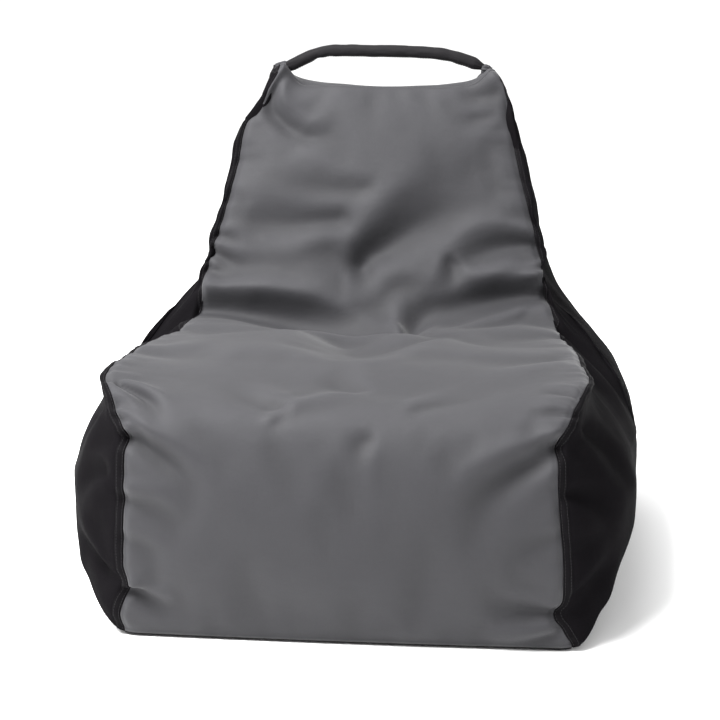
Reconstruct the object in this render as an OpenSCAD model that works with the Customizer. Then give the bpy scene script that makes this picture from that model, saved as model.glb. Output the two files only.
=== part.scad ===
// Bean bag lounge chair: a sewn cover with a carry handle and a zip, round a bead-filled liner.
// Frame: X across the chair, -Y to the front, +Z up, origin on the floor under the middle.
// All sizes are in millimetres.

/* [Overall] */
// Depth over the bellies of the front and the rear panel
bag_depth = 850; // [708:2:1020]
// Height of the front roll of the seat
seat_height = 372; // [310:2:450]
// Height of the top seam at the two upper corners
back_height = 705; // [587:2:846]

/* [Widths between the side seams] */
// Across the front face
front_width = 616; // [512:2:740]
// Across the front roll of the seat, the widest place
seat_width = 682; // [568:2:820]
// Across the crease between seat and backrest
hip_width = 588; // [490:2:706]
// Across the top seam
top_width = 366; // [306:2:440]
// Across the foot of the rear panel
rear_width = 604; // [502:2:726]
// Half the width over the bellies of the two side panels
belly_reach = 422; // [351:1:507]

/* [Shape of the seat and back] */
// Depth of the chair behind the crease, at seat level
back_depth = 325; // [270:1:390]
// Distance of the top seam from the rearmost point
top_setback = 163; // [135:1:196]
// Distance of the highest line of the seat from the front
crown_setback = 133; // [110:1:160]
// How far the sitting place lies below the front roll
seat_dip = 30; // [24:1:36]
// How far the front face stands forward between its side seams
front_crown = 14; // [8:1:18]
// How far the top hangs between the two corners
top_sag = 12; // [10:0.5:15]

/* [Cover] */
// Thickness of the cover panels with their backing
cover_t = 2; // [1.6:0.1:2.6]
// Thickness of the base panel
base_t = 3; // [2.4:0.1:3.6]
// Width of a felled seam, from the seam line to the inner stitch row
seam_w = 13; // [10:0.5:16]
// Thickness of the folded seam over the side panel
seam_t = 1.4; // [1:0.1:1.8]

/* [Liner and filling] */
// Thickness of the liner fabric
liner_t = 1; // [0.8:0.1:1.2]
// Air space between the cover and the liner
liner_gap = 6; // [5:0.5:8]
// Air space between the liner and the beads
fill_gap = 3; // [2.5:0.5:4]

/* [Handle] */
// Outer diameter of the padded grip
handle_d = 19; // [16:0.5:23]
// Outer diameter of the grip where it meets a corner
handle_end_d = 13; // [11:0.5:15.5]
// Thickness of the grip's fabric sleeve
sleeve_t = 1.6; // [1.2:0.1:2]
// Height of the grip's middle above its pivot line
handle_rise = 31; // [25:1:38]
// Angle at which the grip's ends climb from the pivot line
handle_angle = 31; // [26:1:38]
// Radius of the bend between an end and the middle of the grip
handle_bend = 85; // [70:1:102]
// Radius of a rolled end of the sleeve, which is held in the corner
roll_r = 4.5; // [3.7:0.1:5.4]
// Length of a rolled end inside its anchor
roll_length = 16; // [13:1:20]
// Radial clearance of the rolled end in its anchor
roll_clearance = 0.08; // [0.06:0.01:0.1]
// Thickness of the anchor fabric round the rolled end
anchor_wall = 4; // [3:0.5:5]

/* [Zip] */
// Length of the closed zip in the rear panel
zip_length = 440; // [366:2:528]
// Height of the zip above the floor
zip_height = 110; // [94:1:132]
// Width of the opening between the two panel edges
zip_opening = 14; // [12:0.5:17]
// Length of the closed zip in the liner
liner_zip_length = 300; // [250:2:360]
// Height of the liner's zip above the floor
liner_zip_height = 52; // [44:1:60]
// Width of one zip tape
tape_w = 15; // [12:0.5:18]
// Length of a zip tape past each end of the coil
tape_end = 15; // [12:1:18]
// Thickness of a zip tape
tape_t = 0.6; // [0.5:0.1:0.7]
// Width of one row of the zip's coil
coil_w = 2.6; // [2.2:0.1:3]
// Height of the coil on its tape
coil_t = 2.4; // [2:0.1:2.8]
// Groove between the two rows, where the slider's divider runs
coil_groove = 1.2; // [1:0.1:1.4]
// Length of a slider
slider_length = 12; // [10:0.5:14]
// Thickness of a slider's plates
slider_plate = 1.2; // [1:0.1:1.4]
// Length of the pull tab
pull_length = 26; // [22:1:31]
// Width of the pull tab
pull_width = 7; // [6:0.5:8]

/* [Hidden] */
$fn = 48;

grey = [0.36, 0.36, 0.38];
black = [0.07, 0.07, 0.08];
white = [0.86, 0.86, 0.84];
zinc = [0.55, 0.56, 0.58];

half_depth = bag_depth / 2;
touch = 0.1;                         // air between sewn pieces that lie on each other
slide_gap = 0.3;                     // air between a slider and what it rides on
seam_start = 1;                      // a folded seam starts this far in from the panel's edge
foot_z = base_t + touch;             // where the upright panels start
foot_tuck = 37;                      // the front seam lies back under the front belly
foot_narrow = 7;                     // the front face narrows to its lower corners
rear_y = half_depth - 20;            // plane of the zip in the rear panel
crease_y = half_depth - back_depth;
top_y = half_depth - top_setback;
seat_low = seat_height - seat_dip;
liner_in = cover_t + liner_gap;      // outer face of the liner, measured inwards from the cover
fill_in = liner_in + liner_t + fill_gap;

spans = 3;                           // facets between two knots of the outline
across = 8;                          // facets across a panel
base_spans = 6;                      // facets along the base
rings = 5;                           // rings of facets on a side panel

function mix(a, b, t) = a + (b - a) * t;
function smooth(t) = let (c = min(max(t, 0), 1)) c * c * (3 - 2 * c);

// Knots of the side outline: [y, z, half width between the seams, crown between the seams]
front_knots = [
    [-half_depth + foot_tuck, foot_z, front_width / 2 - foot_narrow, 4],
    [-half_depth + front_crown, 0.33 * seat_height, front_width / 2, front_crown],
    [-half_depth + front_crown + 4, 0.72 * seat_height, front_width / 2 - 4, front_crown],
    [-half_depth + 0.4 * crown_setback, seat_height - 30, mix(front_width, seat_width, 0.45) / 2, 9],
    [-half_depth + crown_setback, seat_height, seat_width / 2, 2],
    [mix(-half_depth + crown_setback, crease_y, 0.45), seat_height - 12, mix(seat_width, hip_width, 0.3) / 2, -10],
    [crease_y - 80, seat_low, mix(seat_width, hip_width, 0.72) / 2, -14],
    [crease_y, seat_low + 9, hip_width / 2, -6],
    [mix(crease_y, top_y, 0.32), mix(seat_low, back_height, 0.22), mix(hip_width, top_width, 0.17) / 2, 8],
    [mix(crease_y, top_y, 0.62), mix(seat_low, back_height, 0.56), mix(hip_width, top_width, 0.5) / 2, 12],
    [mix(crease_y, top_y, 0.87), mix(seat_low, back_height, 0.84), mix(hip_width, top_width, 0.83) / 2, 4],
    [top_y, back_height, top_width / 2, -top_sag / 3],
];
rear_knots = [
    [top_y + 42, back_height + 8, top_width / 2, -top_sag],
    [mix(top_y, rear_y, 0.62), mix(seat_low, back_height, 0.82), mix(rear_width, top_width, 0.78) / 2, 4],
    [half_depth - 26, mix(seat_low, back_height, 0.22), mix(rear_width, top_width, 0.34) / 2, 12],
    [half_depth - 12, 0.72 * seat_height, rear_width / 2, 12],
    [rear_y, zip_height + 85, rear_width / 2, 0],
    [rear_y, zip_height + 40, rear_width / 2, 0],
    [rear_y, zip_height, rear_width / 2, 0],
    [rear_y, foot_z, rear_width / 2, 0],
];
knots = concat(front_knots, rear_knots);
top_index = spans * (len(front_knots) - 1);
zip_index = spans * (len(knots) - 2);
foot_index = spans * (len(knots) - 1);
loop_length = foot_index + base_spans;

// A point of a curve that runs smoothly through the knots, at a share t of the stretch after knot k
function through(k, t) =
    let (
        last = len(knots) - 1,
        a = knots[max(k - 1, 0)],
        b = knots[k],
        c = knots[min(k + 1, last)],
        d = knots[min(k + 2, last)]
    )
    0.5 * (2 * b + (c - a) * t + (2 * a - 5 * b + 4 * c - d) * t * t + (3 * b - a - 3 * c + d) * t * t * t);

// The closed outline: up the front, over the back, down the rear, and straight along the base
outline = [
    for (i = [0 : loop_length - 1])
        i <= foot_index
        ? through(floor(i / spans), i / spans - floor(i / spans))
        : mix(knots[len(knots) - 1], knots[0], (i - foot_index) / base_spans)
];
function on_base(i) = i > foot_index;
function at_foot(i) = i == 0 || i == foot_index;
function around(i) = (i + loop_length) % loop_length;

// Outward normal of the outline in the YZ plane, level at the two foot corners
normals = [
    for (i = [0 : loop_length - 1])
        let (before = outline[around(i - 1)], after = outline[around(i + 1)])
        let (dy = after[0] - before[0], dz = after[1] - before[1], size = norm([dy, dz]))
        i == 0 ? [-1, 0] : i == foot_index ? [1, 0] : on_base(i) ? [0, 0] : [-dz / size, dy / size]
];

// A point of the wall, inset mm inside the cover's outer face, at share s from -1 to 1 across it.
// lift raises the base edge, for the pieces inside the cover.
function wall(i, s, inset, lift = 0) =
    let (
        k = around(i),
        p = outline[k],
        n = normals[k],
        out = p[3] * (1 - s * s) - inset,
        low = at_foot(k) || on_base(k)
    )
    [s * (p[2] - inset), p[0] + n[0] * (low ? -inset : out), low ? foot_z + lift : p[1] + n[1] * out];

// How far a side reaches out at a height: a straight taper to the top corner, and a belly below it
belly = 49;
belly_z = 0.54 * seat_height;
function reach(z) =
    mix(belly_reach - belly, top_width / 2 + 8, max(z - belly_z, 0) / (back_height - belly_z))
    + belly * (1 - smooth((z / seat_height - 0.7) / 0.45));

// A point of a side: ring 1 is the seam, and the rings inside it close in on the belly's ridge,
// a line that rises a little towards the back. Ring 0 is the ridge's middle.
ridge = [[-0.4 * half_depth, 0.5 * seat_height], [crease_y + 100, 0.6 * seat_height]];
function side(i, ring, sign, inset, lift = 0) =
    let (
        e = wall(i, sign, inset, lift),
        run = ridge[1] - ridge[0],
        foot = ([e[1], e[2]] - ridge[0]) * run / (run * run),
        start = mix(ridge[0], ridge[1], ring == 0 ? 0.5 : min(max(foot, 0), 1)),
        z = mix(start[1], e[2], ring)
    )
    [
        sign * mix(reach(z) - inset, abs(e[0]), ring == 0 ? 0 : pow(ring, 2.4)),
        mix(start[0], e[1], ring),
        z
    ];

function two(a, b, c, d) = [[a, b, c], [a, c, d]];
function flat(list) = [for (l = list, x = l) x];

// A closed plate between two grids of rows that match point for point
module plate(outer, inner, ring = false) {
    rows = len(outer);
    cols = len(outer[0]);
    n = rows * cols;
    last = ring ? rows - 1 : rows - 2;
    function at(i, j) = (i % rows) * cols + j;
    faces = concat(
        [for (i = [0 : last], j = [0 : cols - 2])
            each two(at(i, j), at(i + 1, j), at(i + 1, j + 1), at(i, j + 1))],
        [for (i = [0 : last], j = [0 : cols - 2])
            each two(n + at(i, j), n + at(i, j + 1), n + at(i + 1, j + 1), n + at(i + 1, j))],
        [for (i = [0 : last])
            each two(at(i, 0), n + at(i, 0), n + at(i + 1, 0), at(i + 1, 0))],
        [for (i = [0 : last])
            each two(at(i, cols - 1), at(i + 1, cols - 1), n + at(i + 1, cols - 1), n + at(i, cols - 1))],
        ring ? [] : [for (j = [0 : cols - 2])
            each two(at(0, j), at(0, j + 1), n + at(0, j + 1), n + at(0, j))],
        ring ? [] : [for (j = [0 : cols - 2])
            each two(at(rows - 1, j), n + at(rows - 1, j), n + at(rows - 1, j + 1), at(rows - 1, j + 1))]
    );
    polyhedron(points = concat(flat(outer), flat(inner)), faces = faces);
}

// The part of the wall between two places on the outline
module wall_plate(from, to, outer, inner, ring = false, lift = false) {
    function rows(inset) = [
        for (i = [from : to])
            [for (j = [0 : across]) wall(i, 2 * j / across - 1, inset, lift ? inset : 0)]
    ];
    plate(rows(outer), rows(inner), ring);
}

// A point of a side at a distance in from its edge, no further than the ring inside the edge
function near_edge(i, sign, distance, inset = 0, lift = 0) =
    let (
        edge = side(i, 1, sign, inset, lift),
        middle = side(i, 1 - 1 / rings, sign, inset, lift)
    )
    edge + (middle - edge) * distance / norm(middle - edge);

// Points of one side: the middle, the rings round it, the inner line of the folded seam, the edge
function side_points(sign, inset, lift) = [
    side(0, 0, sign, inset, lift),
    for (r = [1 : rings - 1], i = [0 : loop_length - 1]) side(i, r / rings, sign, inset, lift),
    for (i = [0 : loop_length - 1]) near_edge(i, sign, seam_start + seam_w, inset, lift),
    for (i = [0 : loop_length - 1]) side(i, 1, sign, inset, lift),
];
function side_faces(turn, start = 0) =
    let (n = loop_length, ring = function (r, i) start + 1 + (r - 1) * n + i % n)
    [
        for (i = [0 : n - 1]) turn ? [start, ring(1, i), ring(1, i + 1)] : [start, ring(1, i + 1), ring(1, i)],
        for (r = [1 : rings], i = [0 : n - 1])
            each turn
            ? two(ring(r, i), ring(r + 1, i), ring(r + 1, i + 1), ring(r, i + 1))
            : two(ring(r, i), ring(r, i + 1), ring(r + 1, i + 1), ring(r + 1, i))
    ];

// One side as a closed plate
module side_plate(sign, outer, inner, lift = false) {
    n = 1 + (rings + 1) * loop_length;
    edge = 1 + rings * loop_length;
    right = sign > 0;
    polyhedron(
        points = concat(
            side_points(sign, outer, lift ? outer : 0),
            side_points(sign, inner, lift ? inner : 0)
        ),
        faces = concat(
            side_faces(right),
            side_faces(!right, n),
            [for (i = [0 : loop_length - 1])
                let (a = edge + i, b = edge + (i + 1) % loop_length)
                each right ? two(a, n + a, n + b, b) : two(a, b, n + b, n + a)]
        )
    );
}

// The whole bag as one closed solid, inset mm inside the cover's outer face
module bag_solid(inset) {
    cols = across + 1;
    n = loop_length * cols;
    inner_rings = 1 + (rings - 1) * loop_length;
    function cut(points) = [for (k = [0 : inner_rings - 1]) points[k]];
    function seam(i, right) = (i % loop_length) * cols + (right ? across : 0);
    function at(r, i, right) =
        r == rings ? seam(i, right) : n + (right ? inner_rings : 0) + 1 + (r - 1) * loop_length + i % loop_length;
    function cap(right) = [
        for (i = [0 : loop_length - 1])
            let (hub_at = n + (right ? inner_rings : 0))
            right ? [hub_at, at(1, i, true), at(1, i + 1, true)] : [hub_at, at(1, i + 1, false), at(1, i, false)],
        for (r = [1 : rings - 1], i = [0 : loop_length - 1])
            each right
            ? two(at(r, i, true), at(r + 1, i, true), at(r + 1, i + 1, true), at(r, i + 1, true))
            : two(at(r, i, false), at(r, i + 1, false), at(r + 1, i + 1, false), at(r + 1, i, false))
    ];
    polyhedron(
        points = concat(
            [for (i = [0 : loop_length - 1], j = [0 : across]) wall(i, 2 * j / across - 1, inset, inset)],
            cut(side_points(-1, inset, inset)),
            cut(side_points(1, inset, inset))
        ),
        faces = concat(
            [for (i = [0 : loop_length - 1], j = [0 : across - 1])
                let (a = i * cols + j, b = ((i + 1) % loop_length) * cols + j)
                each two(a, b, b + 1, a + 1)],
            cap(false),
            cap(true)
        )
    );
}

// Cover panels ---------------------------------------------------------------------------------

module front_panel() color(grey) wall_plate(0, top_index, 0, cover_t);

module rear_panel_upper() color(grey) difference() {
    wall_plate(top_index, zip_index, 0, cover_t);
    zip_slot(zip_length + 2 * stop_room, zip_height, rear_y, zip_opening);
}

module rear_panel_lower() color(grey) difference() {
    wall_plate(zip_index, foot_index, 0, cover_t);
    zip_slot(zip_length + 2 * stop_room, zip_height, rear_y, zip_opening);
}

module base_panel() color(black) linear_extrude(base_t) polygon([
    [-front_width / 2 + foot_narrow, -half_depth + foot_tuck],
    [front_width / 2 - foot_narrow, -half_depth + foot_tuck],
    [rear_width / 2, rear_y],
    [-rear_width / 2, rear_y],
]);

module side_panel(sign) color(black) side_plate(sign, 0, cover_t);

// A folded seam lies on the side panel, just behind its edge, with its facets parallel to the panel's
function seam_rows(from, to, sign, proud) = [
    for (i = [from : to]) [
        for (distance = [seam_start + seam_w, seam_start])
            near_edge(i, sign, distance) + [sign * (touch + proud), 0, 0]
    ]
];

module felled_seam(sign, from, to) color(black) {
    low = seam_rows(from, to, sign, 0);
    high = seam_rows(from, to, sign, seam_t);
    if (sign > 0) plate(high, low);
    else plate(low, high);
}

// Zip parts --------------------------------------------------------------------------------------

module zip_slot(length, height, face, opening)
    translate([0, face, height]) cube([length, 40, opening], center = true);

// A bar along the zip between two distances from its middle line, on the side given by sign
module zip_bar(length, height, from, to, near, far, sign)
    translate([-length / 2, from, height + (sign > 0 ? near : -far)])
        cube([length, to - from, far - near]);

module tape(length, height, face, sign) color(black) zip_bar(
    length + 2 * tape_end, height, face, face + tape_t, coil_groove / 2, coil_groove / 2 + tape_w, sign
);

module coil(length, height, face, sign)
    color(black) zip_bar(
        length, height, face + tape_t, face + tape_t + coil_t,
        coil_groove / 2, coil_groove / 2 + coil_w, sign
    );

stop_length = 3;
stop_room = touch + stop_length + 0.5;           // how far an opening runs on past the coil
// Staples that close the two ends of the coil
module stops(length, height, face) color(zinc) for (end = [-1, 1])
    translate([end * (length / 2 + touch + stop_length / 2), face + tape_t + touch + coil_t / 2, height])
        cube([stop_length, coil_t, coil_groove + 2 * coil_w], center = true);

lip_t = 1;
// Plates over and under the coil, with lips beside it and the divider in its groove
module slider(x, height, face) color(zinc) {
    outer = face + tape_t + coil_t + slide_gap;
    under = face - slide_gap - slider_plate;
    half_width = coil_groove / 2 + coil_w + slide_gap + lip_t;
    translate([x - slider_length / 2, outer, height - half_width])
        cube([slider_length, slider_plate, 2 * half_width]);
    translate([x - slider_length / 2, under, height - half_width])
        cube([slider_length, slider_plate, 2 * half_width]);
    for (sign = [-1, 1])
        translate([x - slider_length / 2, face + tape_t + slide_gap, height + sign * (half_width - lip_t / 2) - lip_t / 2])
            cube([slider_length, outer - face - tape_t - slide_gap + 0.01, lip_t]);
    divider = coil_groove - 2 * slide_gap;
    translate([x + slider_length / 2 - 3, under + 0.01, height - divider / 2])
        cube([3, outer - under, divider]);
}

cover_zip_face = rear_y - cover_t - touch - tape_t;
liner_zip_face = rear_y - liner_in + touch;
function parked(length) = length / 2 - slider_length / 2 - 4;

// The bail that holds the pull: a bar along the zip on two posts
bail_r = 0.8;
eye_r = 2;
eye_clearance = 0.1;
bail_gap = 4;                        // clear length of the bar
post_t = 1.2;
bail_y = cover_zip_face + tape_t + coil_t + slide_gap + slider_plate + eye_r + slide_gap;
module bail(x) color(zinc) {
    foot = bail_y - eye_r - slide_gap;
    for (sign = [-1, 1])
        translate([x + sign * (bail_gap + post_t) / 2 - post_t / 2, foot - 0.01, zip_height - bail_r])
            cube([post_t, bail_y - foot + bail_r, 2 * bail_r]);
    translate([x - bail_gap / 2 - 0.01, bail_y, zip_height])
        rotate([0, 90, 0]) cylinder(r = bail_r, h = bail_gap + 0.02);
}

module zip_slider() {
    slider(parked(zip_length), zip_height, cover_zip_face);
    bail(parked(zip_length));
}

eye_w = 3;
pull_t = 1.4;
module zip_pull() color(zinc) translate([parked(zip_length), bail_y, zip_height]) difference() {
    union() {
        rotate([0, 90, 0]) cylinder(r = eye_r, h = eye_w, center = true);
        translate([-eye_w / 2, -pull_t / 2, -eye_r - 4]) cube([eye_w, pull_t, 5]);
        translate([0, pull_t / 2, -eye_r - 4]) rotate([90, 0, 0]) linear_extrude(pull_t) hull() {
            translate([-pull_width / 2 + 1, -1]) circle(r = 1);
            translate([pull_width / 2 - 1, -1]) circle(r = 1);
            translate([0, -pull_length + pull_width / 2]) circle(r = pull_width / 2);
        }
    }
    rotate([0, 90, 0]) cylinder(r = bail_r + eye_clearance, h = eye_w + 1, center = true);
}

// Liner ------------------------------------------------------------------------------------------

module liner_wrap() color(white) difference() {
    wall_plate(0, loop_length - 1, liner_in, liner_in + liner_t, ring = true, lift = true);
    zip_slot(liner_zip_length + 2 * stop_room, liner_zip_height, rear_y, zip_opening);
}

module liner_side(sign) color(white) side_plate(sign, liner_in, liner_in + liner_t, lift = true);

module bead_filling() color([0.95, 0.95, 0.95]) bag_solid(fill_in);

// Handle -----------------------------------------------------------------------------------------

crest = max([for (p = outline) p[1]]);           // highest line of the cover
anchor_r = roll_r + anchor_wall;
pivot_y = top_y + 27;
end_r = handle_end_d / 2;
pivot_rise = touch + max(anchor_r, end_r / cos(handle_angle) + 0.5);
pivot_z = crest + pivot_rise;
anchor_out = top_width / 2 - 1;                  // outer end of an anchor
anchor_in = anchor_out - roll_length;            // inner end of an anchor
grip_end = anchor_in - 1;                        // where the grip narrows to its rolled end
bend_rise = handle_bend * (1 - cos(handle_angle));
leg = max(handle_rise - bend_rise, 1) / sin(handle_angle);
grip_half = grip_end - handle_bend * sin(handle_angle) - leg * cos(handle_angle);

sides = 24;
bends = 6;
// Stations of the grip's line from end to end: [x, z, angle at which it falls away]
half_line = concat(
    [for (k = [0 : bends]) let (a = handle_angle * k / bends)
        [grip_half + handle_bend * sin(a), handle_rise - handle_bend * (1 - cos(a)), a]],
    [[grip_half + handle_bend * sin(handle_angle) + leg * cos(handle_angle), 0, handle_angle]]
);
grip_line = concat(
    [for (k = [len(half_line) - 1 : -1 : 0]) let (q = half_line[k]) [-q[0], q[1], -q[2]]],
    half_line
);

// A ring of points round a station. The first and the last ring slide along the line until they
// lie in an upright plane at the given end.
function grip_ring(k, inset, end) = [
    for (j = [0 : sides - 1])
        let (
            q = grip_line[k],
            last = k == 0 || k == len(grip_line) - 1,
            r = (last ? end_r : handle_d / 2) - inset,
            up = r * sin(360 * j / sides),
            p = [q[0] + up * sin(q[2]), r * cos(360 * j / sides), q[1] + up * cos(q[2])],
            slide = !last ? 0 : ((k == 0 ? -end : end) - p[0]) / cos(q[2])
        )
        p + slide * [cos(q[2]), 0, -sin(q[2])]
];

// A round bar along the grip's line, level in the middle, bent down and narrower at both ends,
// inset mm inside the sleeve's outer face
module grip(inset, end) {
    n = len(grip_line);
    polyhedron(
        points = [for (k = [0 : n - 1]) each grip_ring(k, inset, end)],
        faces = concat(
            [for (k = [0 : n - 2], j = [0 : sides - 1])
                let (a = k * sides + j, b = k * sides + (j + 1) % sides)
                each two(a, a + sides, b + sides, b)],
            [[for (j = [0 : sides - 1]) j]],
            [[for (j = [sides - 1 : -1 : 0]) (n - 1) * sides + j]]
        )
    );
}

// The padded sleeve, closed at both ends and rolled up tight where the corners hold it
module handle_sleeve() color(black) translate([0, pivot_y, pivot_z]) {
    difference() {
        grip(0, grip_end);
        grip(sleeve_t, grip_end - sleeve_t);
    }
    for (turn = [0, 1]) mirror([turn, 0, 0]) translate([grip_end - 0.5, 0, 0])
        rotate([0, 90, 0]) cylinder(r = roll_r, h = anchor_out - grip_end + 0.5);
}

module handle_core() color(white) translate([0, pivot_y, pivot_z])
    grip(sleeve_t + touch, grip_end - sleeve_t - touch);

// The folded corner that holds a rolled end
module handle_anchor(sign) color(grey) translate([sign * (anchor_in + anchor_out) / 2, pivot_y, pivot_z])
    difference() {
        union() {
            rotate([0, 90, 0]) cylinder(r = anchor_r, h = roll_length, center = true);
            translate([-roll_length / 2, -anchor_r, touch - pivot_rise])
                cube([roll_length, 2 * anchor_r, pivot_rise - touch]);
        }
        rotate([0, 90, 0]) cylinder(r = roll_r + roll_clearance, h = roll_length + 2, center = true);
    }

front_panel();
rear_panel_upper();
rear_panel_lower();
base_panel();
side_panel(-1);  // left_side_panel
side_panel(1);  // right_side_panel
felled_seam(-1, 0, top_index);  // left_front_seam
felled_seam(1, 0, top_index);  // right_front_seam
felled_seam(-1, top_index, foot_index);  // left_rear_seam
felled_seam(1, top_index, foot_index);  // right_rear_seam
handle_anchor(-1);  // left_handle_anchor
handle_anchor(1);  // right_handle_anchor
handle_sleeve();
handle_core();
tape(zip_length, zip_height, cover_zip_face, 1);  // zip_tape_upper
tape(zip_length, zip_height, cover_zip_face, -1);  // zip_tape_lower
coil(zip_length, zip_height, cover_zip_face, 1);  // zip_coil_upper
coil(zip_length, zip_height, cover_zip_face, -1);  // zip_coil_lower
stops(zip_length, zip_height, cover_zip_face);  // zip_stops
zip_slider();
zip_pull();
liner_wrap();
liner_side(-1);  // liner_left_side
liner_side(1);  // liner_right_side
for (sign = [-1, 1]) tape(liner_zip_length, liner_zip_height, liner_zip_face, sign);  // liner_zip_tapes
for (sign = [-1, 1]) coil(liner_zip_length, liner_zip_height, liner_zip_face, sign);  // liner_zip_coils
stops(liner_zip_length, liner_zip_height, liner_zip_face);  // liner_zip_stops
slider(parked(liner_zip_length), liner_zip_height, liner_zip_face);  // liner_zip_slider
bead_filling();
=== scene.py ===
"""Bean bag chair: sewn panels, folded seams, handle, zips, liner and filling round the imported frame."""
import math

import bmesh
import bpy
import numpy as np
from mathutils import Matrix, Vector


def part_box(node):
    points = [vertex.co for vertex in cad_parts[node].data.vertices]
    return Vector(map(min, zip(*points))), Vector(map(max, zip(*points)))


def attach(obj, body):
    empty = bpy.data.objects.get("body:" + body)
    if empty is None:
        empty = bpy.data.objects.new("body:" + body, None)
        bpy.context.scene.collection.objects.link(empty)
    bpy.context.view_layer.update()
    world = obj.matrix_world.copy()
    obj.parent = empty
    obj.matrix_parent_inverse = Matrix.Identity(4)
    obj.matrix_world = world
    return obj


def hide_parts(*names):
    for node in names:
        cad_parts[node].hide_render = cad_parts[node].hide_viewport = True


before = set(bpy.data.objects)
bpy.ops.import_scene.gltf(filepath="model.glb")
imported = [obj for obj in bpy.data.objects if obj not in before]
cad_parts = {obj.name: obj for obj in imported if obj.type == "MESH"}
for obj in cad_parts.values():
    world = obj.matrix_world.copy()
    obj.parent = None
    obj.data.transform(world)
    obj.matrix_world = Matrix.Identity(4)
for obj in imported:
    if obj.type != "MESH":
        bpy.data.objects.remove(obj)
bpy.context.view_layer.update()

bl_info = {
    "name": "Bean bag chair",
    "version": (1, 0, 0),
    "blender": (4, 5, 0),
    "location": "3D View > Sidebar > Bean bag",
    "description": "Builds the cover, handle, zips, liner and filling of a bean bag chair",
    "category": "Add Mesh",
}

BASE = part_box("base_panel")
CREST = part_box("right_handle_anchor")
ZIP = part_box("zip_tape_upper"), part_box("zip_tape_lower")
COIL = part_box("zip_coil_upper"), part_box("zip_coil_lower")
HANDS = (-1, "left"), (1, "right")


# Sizes and colours ------------------------------------------------------------------------------

def length(name, text, default, low=0.0, high=2.0):
    return bpy.props.FloatProperty(
        name=name, description=text, default=default, min=low, max=high, subtype="DISTANCE", unit="LENGTH"
    )


def colour(name, text, default):
    return bpy.props.FloatVectorProperty(
        name=name, description=text, default=default, size=3, min=0, max=1, subtype="COLOR"
    )


class BagSizes(bpy.types.PropertyGroup):
    """Sizes of the sewn bag"""

    depth: length("Depth", "Front to rear over the whole bag", 0.85)
    seat_height: length("Seat height", "Floor to the seat's front crown", 0.372)
    back_height: length("Back height", "Floor to the cover's top seam", 0.705)
    front_width: length("Front width", "Front panel across its lower half", 0.616)
    seat_width: length("Seat width", "Front panel at the crown", 2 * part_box("front_panel")[1].x)
    hip_width: length("Hip width", "Front panel at the crease", 0.588)
    top_width: length("Top width", "Panels at the top", 0.366)
    rear_width: length("Rear width", "Rear panel", 2 * BASE[1].x)
    belly_reach: length("Belly reach", "Middle of the bag to the fullest point of a side", 0.422)
    back_depth: length("Back depth", "Rear to the crease", 0.325)
    top_setback: length("Top setback", "Rear to the top edge", 0.163)
    crown_setback: length("Crown setback", "Front to the crown of the seat", 0.133)
    foot_rise: length("Foot rise", "Height of the lower seam over the floor", 0.006)
    seam_sink: length("Seam sink", "How deep the panels are drawn in at a seam", 0.0055)
    seam_width: length("Seam width", "Width of a folded and topstitched seam", 0.013)
    seam_height: length("Seam height", "How far a folded seam stands proud", 0.0016)
    stitch: length("Stitch", "Pitch of the topstitching", 0.0046)
    cloth: length("Cloth", "Thickness of the cover cloth with its backing", 0.0016)
    folds: bpy.props.FloatProperty(
        name="Folds", description="Depth of the folds, where 1 is as used", default=1, min=0, max=1.5
    )
    grip_radius: length("Grip radius", "Radius of the padded handle", 0.0097)
    coil_pitch: length("Coil pitch", "Distance between the turns of the zip's coil", 0.0016)


class BagColours(bpy.types.PropertyGroup):
    """Colours of the cloths, threads and fittings"""

    grey: colour("Grey cloth", "Front and rear panels", (0.0184, 0.0181, 0.0206))
    black: colour("Black cloth", "Side panels and seams", (0.0044, 0.0040, 0.0046))
    base: colour("Base cloth", "Bottom panel", (0.007, 0.0066, 0.0072))
    handle: colour("Handle cloth", "Sleeve of the handle", (0.0095, 0.009, 0.0098))
    foam: colour("Foam", "Core of the handle", (0.62, 0.60, 0.54))
    thread: colour("Thread", "Topstitching", (0.012, 0.0115, 0.0125))
    tape: colour("Zip tape", "Woven tape of the zip", (0.014, 0.014, 0.015))
    coil: colour("Zip coil", "Nylon coil of the zip", (0.018, 0.018, 0.019))
    metal: colour("Metal", "Sliders, pull and stops", (0.52, 0.53, 0.55))
    liner: colour("Liner", "Cloth of the liner", (0.72, 0.72, 0.69))
    beads: colour("Beads", "Filling", (0.86, 0.86, 0.85))


def sizes():
    return bpy.context.scene.bag_sizes


def colours():
    return bpy.context.scene.bag_colours


# Materials --------------------------------------------------------------------------------------

class Socket:
    """A number in a material. Python's operators on it add Math nodes."""

    def __init__(self, maker, socket):
        self.maker, self.socket = maker, socket

    def maths(self, operation, *others):
        inputs = {0: self, **dict(enumerate(others, 1))}
        return self.maker.node("ShaderNodeMath", {"operation": operation}, inputs)

    def __add__(self, other):
        return self.maths("ADD", other)

    __radd__ = __add__

    def __sub__(self, other):
        return self.maths("SUBTRACT", other)

    def __rsub__(self, other):
        return self.maker.node("ShaderNodeMath", {"operation": "SUBTRACT"}, {0: other, 1: self})

    def __mul__(self, other):
        return self.maths("MULTIPLY", other)

    __rmul__ = __mul__

    def __abs__(self):
        return self.maths("ABSOLUTE")

    def sine(self):
        return self.maths("SINE")

    def above(self, level, soft):
        """0 below a level and 1 above it, with a soft step."""
        return self.maker.node(
            "ShaderNodeMapRange", {"interpolation_type": "SMOOTHSTEP"},
            {"Value": self, "From Min": level - soft, "From Max": level + soft},
        )


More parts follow.
